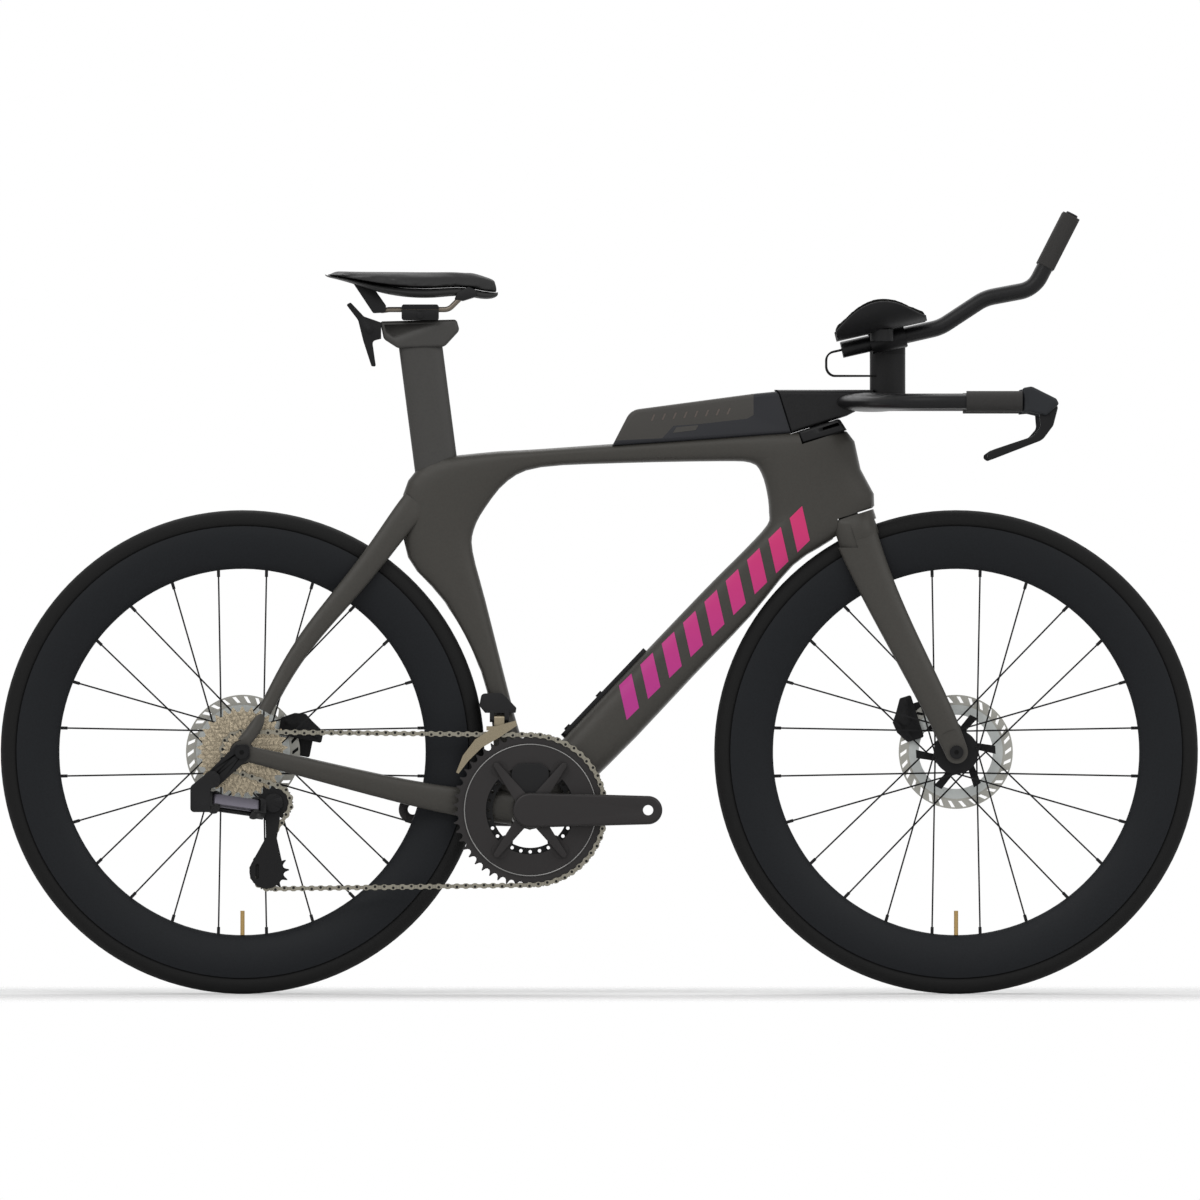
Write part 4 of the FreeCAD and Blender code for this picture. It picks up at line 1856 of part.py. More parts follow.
def make_front_derailleur(frame):
    pin = spot(d.changer_pin_ahead, -d.changer_pin_side, d.changer_pin_height)
    half = float(d.changer_knuckle_length) / 2
    lug_end = half + float(d.running_gap) + float(d.changer_lug)
    body = slab(side_places(spot(pin.x, 0, pin.z), CHANGER_BODY_SHARES, d.changer_unit),
                scaled(CHANGER_ROUND_SHARES, d.changer_unit), d.changer_half_width, -d.changer_side)
    for start in (-lug_end, half + float(d.running_gap)):
        radius = float(d.changer_knuckle_radius)
        lug = Part.makeCylinder(radius, float(d.changer_lug), pin + AHEAD * start, AHEAD)
        neck = Part.makeBox(float(d.changer_lug), 2 * radius, float(d.changer_unit) / 4,
                            pin + AHEAD * start - SIDE * radius)
        body = body.fuse(lug).fuse(neck)
    shaft = Part.makeCylinder(float(d.changer_pin_radius), 2 * lug_end, pin - AHEAD * lug_end, AHEAD)
    body = body.fuse(shaft)
    feature("front_derailleur_body", body.cut(frame))
    outer = CHAIN_SIDE - d.changer_gap / 2
    inner = CHAIN_SIDE + d.changer_gap / 2
    cage = changer_plate(outer - d.changer_plate, outer).fuse(changer_plate(inner, inner + d.changer_plate))
    bridge_low = CRANK + ring_corner(float(d.changer_outer_radius - d.changer_bridge * 2),
                                     math.radians(CHANGER_ANGLES[1]))
    bridge = Part.makeBox(float(d.changer_knuckle_length), float(inner - outer + d.changer_plate * 2),
                          float(d.changer_bridge) * 2,
                          spot(bridge_low.x - d.changer_knuckle_length, outer - d.changer_plate,
                               bridge_low.z))
    knuckle = Part.makeCylinder(float(d.changer_knuckle_radius), 2 * half, pin - AHEAD * half, AHEAD)
    post = Part.makeBox(2 * half, float(d.changer_knuckle_radius), pin.z - bridge_low.z,
                        spot(pin.x - half, pin.y - d.changer_knuckle_radius, bridge_low.z))
    cage = cage.fuse(bridge).fuse(knuckle).fuse(post)
    hole = Part.makeCylinder(float(d.changer_pin_radius + d.fit_gap), 4 * half, pin - AHEAD * (2 * half),
                             AHEAD)
    feature("front_derailleur_cage", cage.cut(hole))


# A shift wire from the rear end of its extension: how far ahead and up as shares of the riser's chord, and
# how far out as a share of the extensions' half gap.
WIRE_SHARES = ((0.0, 0.0, 1.0), (-0.44, -0.098, 1.0), (-0.44, -0.73, 0.9), (1.2, -0.73, 0.1))
WIRE_BEND_SHARES = (0.25, 0.3)


def make_wires(riser):
    """The shift wires that leave the rear ends of the extensions and turn into the riser."""
    wires = []
    unit = float(d.riser_chord)
    out = float(d.extension_half_gap)
    bends = scaled(WIRE_BEND_SHARES, unit)
    start = extension_places()[0]
    for side in (1, -1):
        path = []
        for ahead, up, beside in WIRE_SHARES:
            path.append(start + AHEAD * (unit * ahead) + UP * (unit * up) + SIDE * (side * out * beside))
        wires.append(tube(path, bends, d.shift_wire_radius).cut(riser))
    print("shift wire bend radii", bends)
    feature("shift_wires", Part.makeCompound(wires))


def export():
    """Checks every object, then writes each sub-part to its own file."""
    document.recompute()
    for item in document.Objects:
        if "Invalid" in item.State or "Error" in item.State:
            raise RuntimeError("failed object: " + item.Label)
    for item in sub_parts:
        if item.Shape.isNull() or not item.Shape.isValid() or not item.Shape.Solids:
            raise RuntimeError("bad shape: " + item.Label)
    os.makedirs("parts", exist_ok=True)
    for item in sub_parts:
        item.Shape.exportStep("parts/%s.step" % item.Label)
        print(item.Label, len(item.Shape.Solids), round(item.Shape.Volume))


def build():
    frame = make_frame().Shape
    make_bottle_rail(frame)
    make_headset()
    make_bottom_bracket()
    make_hanger()
    make_axles()
    fork = make_fork().Shape
    base_bar = make_base_bar().Shape
    make_bar_tape(base_bar)
    make_levers()
    make_extensions()
    riser, bracket = make_riser(base_bar)
    make_wires(riser)
    make_arm_supports(bracket)
    post = make_seatpost()
    make_saddle(post)
    make_storage_box(frame)
    make_wheel("front", FRONT, d.front_flange_offset, -d.front_flange_offset)
    make_wheel("rear", REAR, -d.rear_right_flange_offset, d.rear_left_flange_offset)
    make_hubs()
    make_rotor("front_rotor", FRONT + SIDE * float(d.front_spacing / 2 - d.rotor_inset))
    make_rotor("rear_rotor", REAR + SIDE * float(d.rear_spacing / 2 - d.rotor_inset))
    make_calipers(fork, frame)
    make_chain()
    make_cassette()
    crank = make_cranks()
    make_chainrings()
    make_pod(crank)
    make_rear_derailleur()
    make_front_derailleur(frame)
    export()


build()
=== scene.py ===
import json
import math

import bmesh
import bpy
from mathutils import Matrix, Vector


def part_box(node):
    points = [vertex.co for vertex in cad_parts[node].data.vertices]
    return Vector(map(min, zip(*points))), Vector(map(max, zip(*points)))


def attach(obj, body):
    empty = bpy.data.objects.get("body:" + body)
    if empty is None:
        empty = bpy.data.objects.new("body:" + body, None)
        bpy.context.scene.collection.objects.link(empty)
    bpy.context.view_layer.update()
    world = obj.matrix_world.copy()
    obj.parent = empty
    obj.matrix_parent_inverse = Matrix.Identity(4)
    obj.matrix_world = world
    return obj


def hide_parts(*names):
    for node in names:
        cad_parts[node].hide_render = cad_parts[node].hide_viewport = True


# Looks of the time trial bike. Lengths are in metres unless a comment says millimetres, and colours
# are written as the eye sees them (0 to 255).

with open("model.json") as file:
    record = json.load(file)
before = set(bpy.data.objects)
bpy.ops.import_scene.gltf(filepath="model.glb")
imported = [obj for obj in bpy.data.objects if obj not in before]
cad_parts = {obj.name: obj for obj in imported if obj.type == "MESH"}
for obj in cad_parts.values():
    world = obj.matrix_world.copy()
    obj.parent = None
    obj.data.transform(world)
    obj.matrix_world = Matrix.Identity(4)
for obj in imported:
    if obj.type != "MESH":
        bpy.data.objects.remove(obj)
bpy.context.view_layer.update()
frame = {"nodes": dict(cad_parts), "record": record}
nodes = frame["nodes"]
collection = bpy.context.scene.collection

MM = 0.001
SHARP_ANGLE = math.radians(32)
BEVEL_ANGLE = math.radians(40)
BEVEL_SEGMENTS = 2
WELD_REACH = 0.01 * MM


def linear(colour):
    """Turns a colour as the eye sees it into the shader's own numbers, by the standard sRGB curve."""
    values = []
    for part in colour:
        share = part / 255
        values.append(share / 12.92 if share <= 0.04045 else ((share + 0.055) / 1.055) ** 2.4)
    return (*values, 1.0)


# Finish of each material: colour, metal, roughness, gloss, grain size and depth in millimetres, then
# how much the grain changes the colour and how much painted shade darkens the corners.
FINISHES = {
    "frame_paint": ((66, 64, 60), 0.10, 0.42, 0.25, 3.0, 0.0, 0.05, 0.4),
    "post_paint": ((68, 67, 65), 0.10, 0.44, 0.25, 3.0, 0.0, 0.05, 0.4),
    "carbon": ((24, 24, 25), 0.0, 0.38, 0.20, 2.0, 0.005, 0.20, 0.3),
    "rim_carbon": ((25, 27, 30), 0.0, 0.50, 0.15, 2.5, 0.005, 0.15, 0.3),
    "tyre": ((25, 25, 25), 0.0, 0.70, 0.15, 1.2, 0.15, 0.10, 0.3),
    "black_alloy": ((25, 25, 26), 0.3, 0.42, 0.20, 0.8, 0.01, 0.12, 0.6),
    "grey_alloy": ((98, 95, 104), 0.5, 0.40, 0.25, 0.8, 0.01, 0.08, 0.6),
    "graphite_alloy": ((48, 46, 46), 0.4, 0.38, 0.25, 0.8, 0.01, 0.06, 0.7),
    "silver_steel": ((138, 128, 108), 0.85, 0.28, 0.5, 1.0, 0.01, 0.12, 0.95),
    "rotor_steel": ((162, 161, 154), 0.7, 0.36, 0.5, 0.8, 0.01, 0.06, 0.3),
    "cooling_fin": ((198, 202, 200), 0.3, 0.45, 0.4, 0.8, 0.01, 0.05, 0.3),
    "spoke_steel": ((28, 28, 29), 0.4, 0.40, 0.20, 0.8, 0.0, 0.05, 0.0),
    "plastic": ((24, 24, 25), 0.0, 0.50, 0.20, 0.9, 0.02, 0.10, 0.5),
    "cover_plastic": ((72, 70, 67), 0.0, 0.50, 0.25, 0.9, 0.01, 0.05, 0.4),
    "lever_plastic": ((40, 42, 45), 0.0, 0.55, 0.20, 0.9, 0.02, 0.08, 0.4),
    "grip_rubber": ((60, 59, 58), 0.0, 0.78, 0.15, 1.5, 0.25, 0.12, 0.4),
    "foam": ((19, 19, 18), 0.0, 0.92, 0.08, 0.9, 0.30, 0.15, 0.3),
    "saddle_skin": ((34, 34, 34), 0.0, 0.60, 0.30, 0.7, 0.08, 0.10, 0.2),
    "wire": ((14, 14, 14), 0.0, 0.60, 0.20, 0.9, 0.0, 0.05, 0.3),
    "brass": ((170, 142, 92), 0.8, 0.36, 0.5, 0.8, 0.01, 0.08, 0.4),
    "chain_steel": ((138, 134, 122), 0.85, 0.30, 0.5, 0.9, 0.01, 0.12, 0.9),
    # The cassette's strong, coarse grain in its colour is painted glints and painted shade on the
    # sprockets.
    "cassette_steel": ((172, 160, 138), 0.85, 0.26, 0.5, 2.2, 0.05, 0.45, 0.85),
    "rail_metal": ((112, 104, 94), 0.7, 0.38, 0.4, 0.9, 0.01, 0.06, 0.4),
    # A light alloy for the ridge round the outer chainring: a painted highlight.
    "ring_painted_highlight": ((128, 127, 126), 0.8, 0.26, 0.5, 0.8, 0.0, 0.04, 0.0),
    "box_shade": ((36, 37, 41), 0.0, 0.50, 0.25, 0.9, 0.01, 0.08, 0.4),
    "box_rib": ((98, 90, 85), 0.0, 0.60, 0.20, 0.9, 0.0, 0.05, 0.0),
    # Near black: painted shade inside the hex sockets of the axle heads.
    "socket": ((9, 9, 9), 0.0, 0.60, 0.10, 0.9, 0.0, 0.05, 0.0),
}
GRAIN_LIMITS = (0.3, 0.7)
ROUGHNESS_SPREAD = 0.06
CORNER_REACH = 5 * MM


def spread_node(tree, source, low, high):
    """Maps the grain's grey onto a range of values."""
    spread = tree.nodes.new("ShaderNodeMapRange")
    spread.inputs["From Min"].default_value = GRAIN_LIMITS[0]
    spread.inputs["From Max"].default_value = GRAIN_LIMITS[1]
    spread.inputs["To Min"].default_value = low
    spread.inputs["To Max"].default_value = high
    tree.links.new(source, spread.inputs["Value"])
    return spread.outputs["Result"]


def make_material(name, colour, metal, roughness, gloss, grain, depth, change, corners):
    material = bpy.data.materials.new(name)
    material.use_nodes = True
    tree = material.node_tree
    shader = tree.nodes["Principled BSDF"]
    shader.inputs["Metallic"].default_value = metal
    shader.inputs["Specular IOR Level"].default_value = gloss
    place = tree.nodes.new("ShaderNodeTexCoord")
    noise = tree.nodes.new("ShaderNodeTexNoise")
    noise.inputs["Scale"].default_value = 1 / (grain * MM)
    tree.links.new(place.outputs["Object"], noise.inputs["Vector"])
    tint = tree.nodes.new("ShaderNodeVectorMath")
    tint.operation = "SCALE"
    tint.inputs[0].default_value = linear(colour)[:3]
    lighter = spread_node(tree, noise.outputs["Fac"], 1 - change, 1 + change)
    tree.links.new(lighter, tint.inputs["Scale"])
    # Painted shade: ambient occlusion darkens the base colour in corners, creases and gaps between
    # parts.
    painted_shade = tree.nodes.new("ShaderNodeAmbientOcclusion")
    painted_shade.inputs["Distance"].default_value = CORNER_REACH
    darker = tree.nodes.new("ShaderNodeMapRange")
    darker.inputs["To Min"].default_value = 1 - corners
    darker.inputs["To Max"].default_value = 1
    shade = tree.nodes.new("ShaderNodeVectorMath")
    shade.operation = "SCALE"
    tree.links.new(painted_shade.outputs["AO"], darker.inputs["Value"])
    tree.links.new(tint.outputs["Vector"], shade.inputs[0])
    tree.links.new(darker.outputs["Result"], shade.inputs["Scale"])
    tree.links.new(shade.outputs["Vector"], shader.inputs["Base Color"])
    rough = spread_node(tree, noise.outputs["Fac"], roughness - ROUGHNESS_SPREAD,
                        roughness + ROUGHNESS_SPREAD)
    tree.links.new(rough, shader.inputs["Roughness"])
    if depth:
        bump = tree.nodes.new("ShaderNodeBump")
        bump.inputs["Distance"].default_value = depth * MM
        tree.links.new(noise.outputs["Fac"], bump.inputs["Height"])
        tree.links.new(bump.outputs["Normal"], shader.inputs["Normal"])
    return material


materials = {name: make_material(name, *finish) for name, finish in FINISHES.items()}


def paint(obj, name):
    obj.data.materials.clear()
    obj.data.materials.append(materials[name])


def smooth(obj):
    for face in obj.data.polygons:
        face.use_smooth = True


def add_weld(obj):
    weld = obj.modifiers.new("weld", "WELD")
    weld.merge_threshold = WELD_REACH


def add_split(obj):
    split = obj.modifiers.new("sharp_edges", "EDGE_SPLIT")
    split.split_angle = SHARP_ANGLE


def add_bevel(obj, width):
    bevel = obj.modifiers.new("worn_edges", "BEVEL")
    bevel.width = width
    bevel.segments = BEVEL_SEGMENTS
    bevel.limit_method = "ANGLE"
    bevel.angle_limit = BEVEL_ANGLE
    bevel.use_clamp_overlap = True


# Pieces whose edges are broken, with the width of the broken edge in millimetres.
BEVELS = {
    "crank_right": 0.8, "crank_left": 0.8, "brake_lever_left": 0.3, "brake_lever_right": 0.3,
    "aerobar_bracket": 0.8, "derailleur_mount": 0.8, "derailleur_outer_link": 0.8,
    "derailleur_inner_link": 0.8, "cage_knuckle": 0.8, "derailleur_hanger": 0.6,
    "saddle_clamp": 0.6, "carrier_bracket": 0.8, "front_derailleur_body": 0.8,
    "bottle_rail": 0.6, "storage_cover": 0.4, "storage_base": 0.4, "front_caliper": 0.4,
    "rear_caliper": 0.4,
}

# Nodes whose look differs from the rest of their slot.
OWN_LOOKS = {
    "storage_base": "box_shade", "saddle_rails": "rail_metal", "saddle_shell": "saddle_skin",
    "chain": "chain_steel", "cassette": "cassette_steel",
}


def dress_nodes():
    slots = {part["node"]: part["material_slot"] for part in frame["record"]["subparts"]}
    for name, obj in nodes.items():
        paint(obj, OWN_LOOKS.get(name, slots[name]))
        smooth(obj)
        add_weld(obj)
        if name in BEVELS:
            add_bevel(obj, BEVELS[name] * MM)
        add_split(obj)


def repaint(node, name, wanted):
    """Gives a second material to the faces of a node that the test picks by their middle."""
    obj = nodes[node]
    obj.data.materials.append(materials[name])
    index = len(obj.data.materials) - 1
    for face in obj.data.polygons:
        if wanted(face.center):
            face.material_index = index


def axle_of(node):
    low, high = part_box(node)
    return (Vector(low) + Vector(high)) / 2


def reach_from(axle):
    """A measure of how far a place lies from an axle that runs across the bike."""
    return lambda place: math.hypot(place.x - axle.x, place.z - axle.z)


RIM_INNER = 262 * MM
ROTOR_BAND_INNER = 65.9 * MM
COOLING_INNER = 51.9 * MM
FREEHUB_REACH = 17.2 * MM


def paint_details():
    """The valves, the bands of the rotors and the freehub, picked by their distance from the axle."""
    for wheel in ("front", "rear"):
        reach = reach_from(axle_of(wheel + "_rotor"))
        repaint(wheel + "_tyre", "brass", lambda place: reach(place) < RIM_INNER)
        repaint(wheel + "_rotor", "cooling_fin",
                lambda place: COOLING_INNER < reach(place) < ROTOR_BAND_INNER)
        repaint(wheel + "_rotor", "black_alloy", lambda place: reach(place) < COOLING_INNER)
    reach = reach_from(axle_of("cassette"))
    repaint("cassette", "black_alloy", lambda place: reach(place) < FREEHUB_REACH)


dress_nodes()
paint_details()


def new_object(name, mesh):
    obj = bpy.data.objects.new(name, mesh)
    collection.objects.link(obj)
    return obj


def frozen_mesh(obj):
    """The object's mesh with its modifiers applied."""
    graph = bpy.context.evaluated_depsgraph_get()
    return bpy.data.meshes.new_from_object(obj.evaluated_get(graph))


CLOTH_FRAMES = 20
CLOTH_PRESSURE = 4.0
REST_NORMAL = -0.25


def padded_copy(node, body, slot, voxel, inset, cap):
    """A swollen copy of a soft node: cloth under pressure, flat where it rests on what carries it."""
    rough = new_object(node + "_rough", nodes[node].data.copy())
    remesh = rough.modifiers.new("remesh", "REMESH")
    remesh.mode = "VOXEL"
    remesh.voxel_size = voxel
    mesh = frozen_mesh(rough)
    bpy.data.objects.remove(rough)
    obj = new_object(node + "_soft", mesh)
    starts = [vertex.co.copy() for vertex in mesh.vertices]
    normals = [vertex.normal.copy() for vertex in mesh.vertices]
    for vertex, normal in zip(mesh.vertices, normals):
        if normal.z > REST_NORMAL:
            vertex.co = vertex.co - normal * inset
    swell(obj, starts, normals, cap)
    obj.data.materials.clear()
    obj.data.materials.append(materials[slot])
    smooth(obj)
    finer = obj.modifiers.new("finer", "SUBSURF")
    finer.levels = 1
    finer.render_levels = 1
    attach(obj, body)
    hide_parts(node)
    return obj


def swell(obj, starts, normals, cap):
    """Blows the cloth up and keeps each point within the cap of where the CAD solid has it."""
    cloth = obj.modifiers.new("cloth", "CLOTH")
    cloth.settings.use_pressure = True
    cloth.settings.uniform_pressure_force = CLOTH_PRESSURE
    cloth.settings.effector_weights.gravity = 0
    scene = bpy.context.scene
    for step in range(1, CLOTH_FRAMES + 1):
        scene.frame_set(step)
    blown = frozen_mesh(obj)
    obj.modifiers.remove(cloth)
    scene.frame_set(1)
    for vertex, end, start, normal in zip(obj.data.vertices, blown.vertices, starts, normals):
        if normal.z <= REST_NORMAL:
            vertex.co = start
            continue
        move = end.co - vertex.co
        if move.length > cap:
            move = move.normalized() * cap
        vertex.co = vertex.co + move
    bpy.data.meshes.remove(blown)


NOSE_START = -188 * MM
NOSE_END = -142 * MM
NOSE_LIFT = 9 * MM
NOSE_FACING = 0.5
FLANK_STEP = 4 * MM
FLANK_SHARE = 0.8


def stretch_cover(obj):
    """Fills out the saddle's nose and brings its lower flanks out to the widest line."""
    widest = {}
    for vertex in obj.data.vertices:
        column = round(vertex.co.x / FLANK_STEP)
        if abs(vertex.co.y) > widest.get(column, (0, 0))[0]:
            widest[column] = (abs(vertex.co.y), vertex.co.z)
    facings = [vertex.normal.z for vertex in obj.data.vertices]
    for vertex, facing in zip(obj.data.vertices, facings):
        reach, height = widest[round(vertex.co.x / FLANK_STEP)]
        if vertex.co.z < height and abs(vertex.co.y) > FLANK_SHARE * reach:
            vertex.co.y = math.copysign(reach, vertex.co.y)
        along = min(max((vertex.co.x - NOSE_START) / (NOSE_END - NOSE_START), 0), 1)
        vertex.co.z += NOSE_LIFT * along * min(max(facing / NOSE_FACING, 0), 1)


stretch_cover(padded_copy("saddle_cover", "seat", "saddle_skin", voxel=4 * MM, inset=0.6 * MM,
                          cap=2.5 * MM))
padded_copy("arm_pads", "steering", "foam", voxel=3.5 * MM, inset=1.2 * MM, cap=2 * MM)

# The down tube's graphic: slanted bars that fade from pink to magenta, on both sides of the tube.
PINK = (226, 62, 122)
MAGENTA = (196, 62, 150)
BAR_START = Vector((33 * MM, 0, 408 * MM))
BAR_END = Vector((302 * MM, 0, 672 * MM))
BAR_COUNT = 9
BAR_HALF_HEIGHT = 21 * MM
BAR_SLANT = 13 * MM
BAR_SHARE = 0.58
BAR_STEPS = 16
BAR_SIDE = 60 * MM
BAR_LIFT = 0.3 * MM
BAR_LEAST_FACING = 0.3
BAR_ROUGHNESS = 0.42
BAR_GLOSS = 0.25


def graphic_material():
    material = bpy.data.materials.new("graphic")
    material.use_nodes = True
    tree = material.node_tree
    shader = tree.nodes["Principled BSDF"]
    shader.inputs["Roughness"].default_value = BAR_ROUGHNESS
    shader.inputs["Specular IOR Level"].default_value = BAR_GLOSS
    place = tree.nodes.new("ShaderNodeTexCoord")
    parts = tree.nodes.new("ShaderNodeSeparateXYZ")
    spread = tree.nodes.new("ShaderNodeMapRange")
    spread.inputs["From Min"].default_value = BAR_START.z
    spread.inputs["From Max"].default_value = BAR_END.z
    ramp = tree.nodes.new("ShaderNodeValToRGB")
    ramp.color_ramp.elements[0].color = linear(MAGENTA)
    ramp.color_ramp.elements[1].color = linear(PINK)
    tree.links.new(place.outputs["Object"], parts.inputs["Vector"])
    tree.links.new(parts.outputs["Z"], spread.inputs["Value"])
    tree.links.new(spread.outputs["Result"], ramp.inputs["Fac"])
    tree.links.new(ramp.outputs["Color"], shader.inputs["Base Color"])
    return material


def drop_strays(mesh):
    """Takes out the faces that missed the tube or lie on its edge."""
    build = bmesh.new()
    build.from_mesh(mesh)
    strays = []
    for face in build.faces:
        missed = any(abs(corner.co.y) > BAR_SIDE - BAR_LIFT for corner in face.verts)
        if missed or abs(face.normal.y) < BAR_LEAST_FACING:
            strays.append(face)
    bmesh.ops.delete(build, geom=strays, context="FACES")
    build.to_mesh(mesh)
    build.free()


def add_graphic(name, side):
    """Bars laid on one side of the down tube."""
    course = BAR_END - BAR_START
    length = course.length
    course.normalize()
    rise = Vector((-course.z, 0, course.x))
    points = []
    faces = []
    pitch = length / BAR_COUNT
    for index in range(BAR_COUNT):
        left = BAR_START + course * (pitch * index)
        base = len(points)
        for step in range(BAR_STEPS + 1):
            share = step / BAR_STEPS * 2 - 1
            middle = left + rise * (BAR_HALF_HEIGHT * share) + course * (BAR_SLANT * share)
            for across in range(BAR_STEPS + 1):
                place = middle + course * (pitch * BAR_SHARE * across / BAR_STEPS)
                points.append(place + Vector((0, side * BAR_SIDE, 0)))
        row = BAR_STEPS + 1
        for step in range(BAR_STEPS):
            for across in range(BAR_STEPS):
                first = base + step * row + across
                face = [first, first + 1, first + row + 1, first + row]
                faces.append(face if side < 0 else face[::-1])
    mesh = bpy.data.meshes.new(name)
    mesh.from_pydata(points, [], faces)
    obj = new_object(name, mesh)
    wrap = obj.modifiers.new("wrap", "SHRINKWRAP")
    wrap.target = nodes["main_frame"]
    wrap.wrap_method = "PROJECT"
    wrap.use_project_y = True
    wrap.use_positive_direction = side < 0
    wrap.use_negative_direction = side > 0
    wrap.offset = BAR_LIFT
    wrapped = frozen_mesh(obj)
    obj.modifiers.clear()
    drop_strays(wrapped)
    obj.data = wrapped
    obj.data.materials.append(graphic)
    smooth(obj)
    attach(obj, "frame")


graphic = graphic_material()
add_graphic("graphic_right", -1)
add_graphic("graphic_left", 1)


def prism(name, outline, side, depth, material, body):
    """A flat piece: an outline of (ahead, up) that grows outwards from the given side."""
    out = math.copysign(depth, side)
    mesh = bpy.data.meshes.new(name)
    build = bmesh.new()
    near = [build.verts.new((ahead, side, up)) for ahead, up in outline]
    far = [build.verts.new((ahead, side + out, up)) for ahead, up in outline]
    build.faces.new(near)
    build.faces.new(far)
    for index in range(len(near)):
        following = (index + 1) % len(near)
        build.faces.new((near[index], near[following], far[following], far[index]))
    bmesh.ops.recalc_face_normals(build, faces=build.faces)
    build.to_mesh(mesh)
    build.free()
    obj = new_object(name, mesh)
    mesh.materials.append(materials[material])
    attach(obj, body)
    return obj


def in_metres(outline):
    return [(ahead * MM, up * MM) for ahead, up in outline]


def round_outline(centre, radius, corners):
    points = []
    for index in range(corners):
        turn = 2 * math.pi * index / corners
        points.append((centre.x + radius * math.cos(turn), centre.z + radius * math.sin(turn)))
    return points


# The ribs and the finger pull on the storage box, in millimetres.
RIB_FIRST = 72
RIB_LAST = 178
RIB_COUNT = 8
RIB_LOW = (803, 812)
RIB_HEIGHT = 9
RIB_WIDTH = 2.6
RIB_LEAN = 4
RIB_DEPTH = 0.3 * MM
PULL = ((103, 786), (135, 790), (139, 797), (108, 794))


def add_box_details():
    low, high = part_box("storage_cover")
    for label, side in (("right", low[1]), ("left", high[1])):
        for index in range(RIB_COUNT):
            share = index / (RIB_COUNT - 1)
            ahead = RIB_FIRST + (RIB_LAST - RIB_FIRST) * share
            foot = RIB_LOW[0] + (RIB_LOW[1] - RIB_LOW[0]) * share
            top = foot + RIB_HEIGHT
            corners = [(ahead, foot), (ahead + RIB_WIDTH, foot), (ahead + RIB_WIDTH + RIB_LEAN, top),
                       (ahead + RIB_LEAN, top)]
            prism("box_rib_%s_%d" % (label, index), in_metres(corners), side, RIB_DEPTH, "box_rib",
                  "frame")
        prism("box_pull_" + label, in_metres(PULL), side, RIB_DEPTH, "cover_plastic", "frame")


# The moulded pieces that hold the saddle's rails: outline of (ahead, up), inner and outer side, in
# millimetres.
RAIL_MOUNTS = {
    "rail_bracket": (
        ((-345, 996), (-330, 993), (-315, 988), (-299, 965), (-299, 955), (-317, 954)), 15.5, 28.5),
    "rail_socket": (
        ((-203, 973), (-191, 971), (-172, 977), (-172, 986), (-183, 991), (-199, 983)), 10, 27),
}
RAIL_MOUNT_EDGE = 1.5 * MM


def add_rail_mounts():
    for name, (outline, inner, outer) in RAIL_MOUNTS.items():
        for label, way in (("right", -1), ("left", 1)):
            piece = prism("%s_%s" % (name, label), in_metres(outline), way * inner * MM,
                          (outer - inner) * MM, "plastic", "seat")
            smooth(piece)
            add_bevel(piece, RAIL_MOUNT_EDGE)
            add_split(piece)


SOCKET_RADIUS = 3.6 * MM
SOCKET_DEPTH = 0.15 * MM
HEX = 6


def add_sockets():
    """Near-black hexagons on the heads of the axles, on the drive side: painted shade for the
    recesses of the hex sockets.
    """
    for node, body in (("front_thru_axle", "steering"), ("rear_thru_axle", "frame")):
        low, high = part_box(node)
        outline = round_outline(axle_of(node), SOCKET_RADIUS, HEX)
        # The hexagon is painted shade standing for the socket's recess.
        prism(node + "_socket", outline, low[1], SOCKET_DEPTH, "socket", body)


LINE_RADIUS = 92 * MM
LINE_DEPTH = 2.5 * MM
LINE_THICKNESS = 1.1 * MM
LINE_STEPS = 96
LINE_CORNERS = 8


def add_ring_highlight():
    """A thin ridge round the outer chainring's dished face, lighter than the ring's alloy as a
    painted highlight.
    """
    axle = axle_of("bottom_bracket")
    low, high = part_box("chainring_outer")
    side = low[1] + LINE_DEPTH
    points = []
    faces = []
    for step in range(LINE_STEPS):
        turn = 2 * math.pi * step / LINE_STEPS
        for corner in range(LINE_CORNERS):
            lean = 2 * math.pi * corner / LINE_CORNERS
            radius = LINE_RADIUS + LINE_THICKNESS * math.cos(lean)
            points.append((axle.x + radius * math.cos(turn), side + LINE_THICKNESS * math.sin(lean),
                           axle.z + radius * math.sin(turn)))
    for step in range(LINE_STEPS):
        following = (step + 1) % LINE_STEPS
        for corner in range(LINE_CORNERS):
            beside = (corner + 1) % LINE_CORNERS
            faces.append((step * LINE_CORNERS + corner, following * LINE_CORNERS + corner,
                          following * LINE_CORNERS + beside, step * LINE_CORNERS + beside))
    mesh = bpy.data.meshes.new("ring_highlight")
    mesh.from_pydata(points, [], faces)
    obj = new_object("ring_highlight", mesh)
    mesh.materials.append(materials["ring_painted_highlight"])
    smooth(obj)
    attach(obj, "crankset")


PIN_RADIUS = 1.9 * MM
PIN_PROUD = 0.25 * MM
PIN_CORNERS = 10
CHAIN_PITCH = 12.7 * MM


def chain_islands():
    """The corners of each separate plate or link of the chain, in the same order each run."""
    build = bmesh.new()
    build.from_mesh(nodes["chain"].data)
    bmesh.ops.remove_doubles(build, verts=build.verts, dist=WELD_REACH)
    build.verts.index_update()
    seen = [False] * len(build.verts)
    islands = []
    for first in build.verts:
        if seen[first.index]:
            continue
        seen[first.index] = True
        stack = [first]
        island = []
        while stack:
            vertex = stack.pop()
            island.append(vertex.co.copy())
            for edge in vertex.link_edges:
                other = edge.other_vert(vertex)
                if not seen[other.index]:
                    seen[other.index] = True
                    stack.append(other)
        islands.append(island)
    build.free()
    return islands


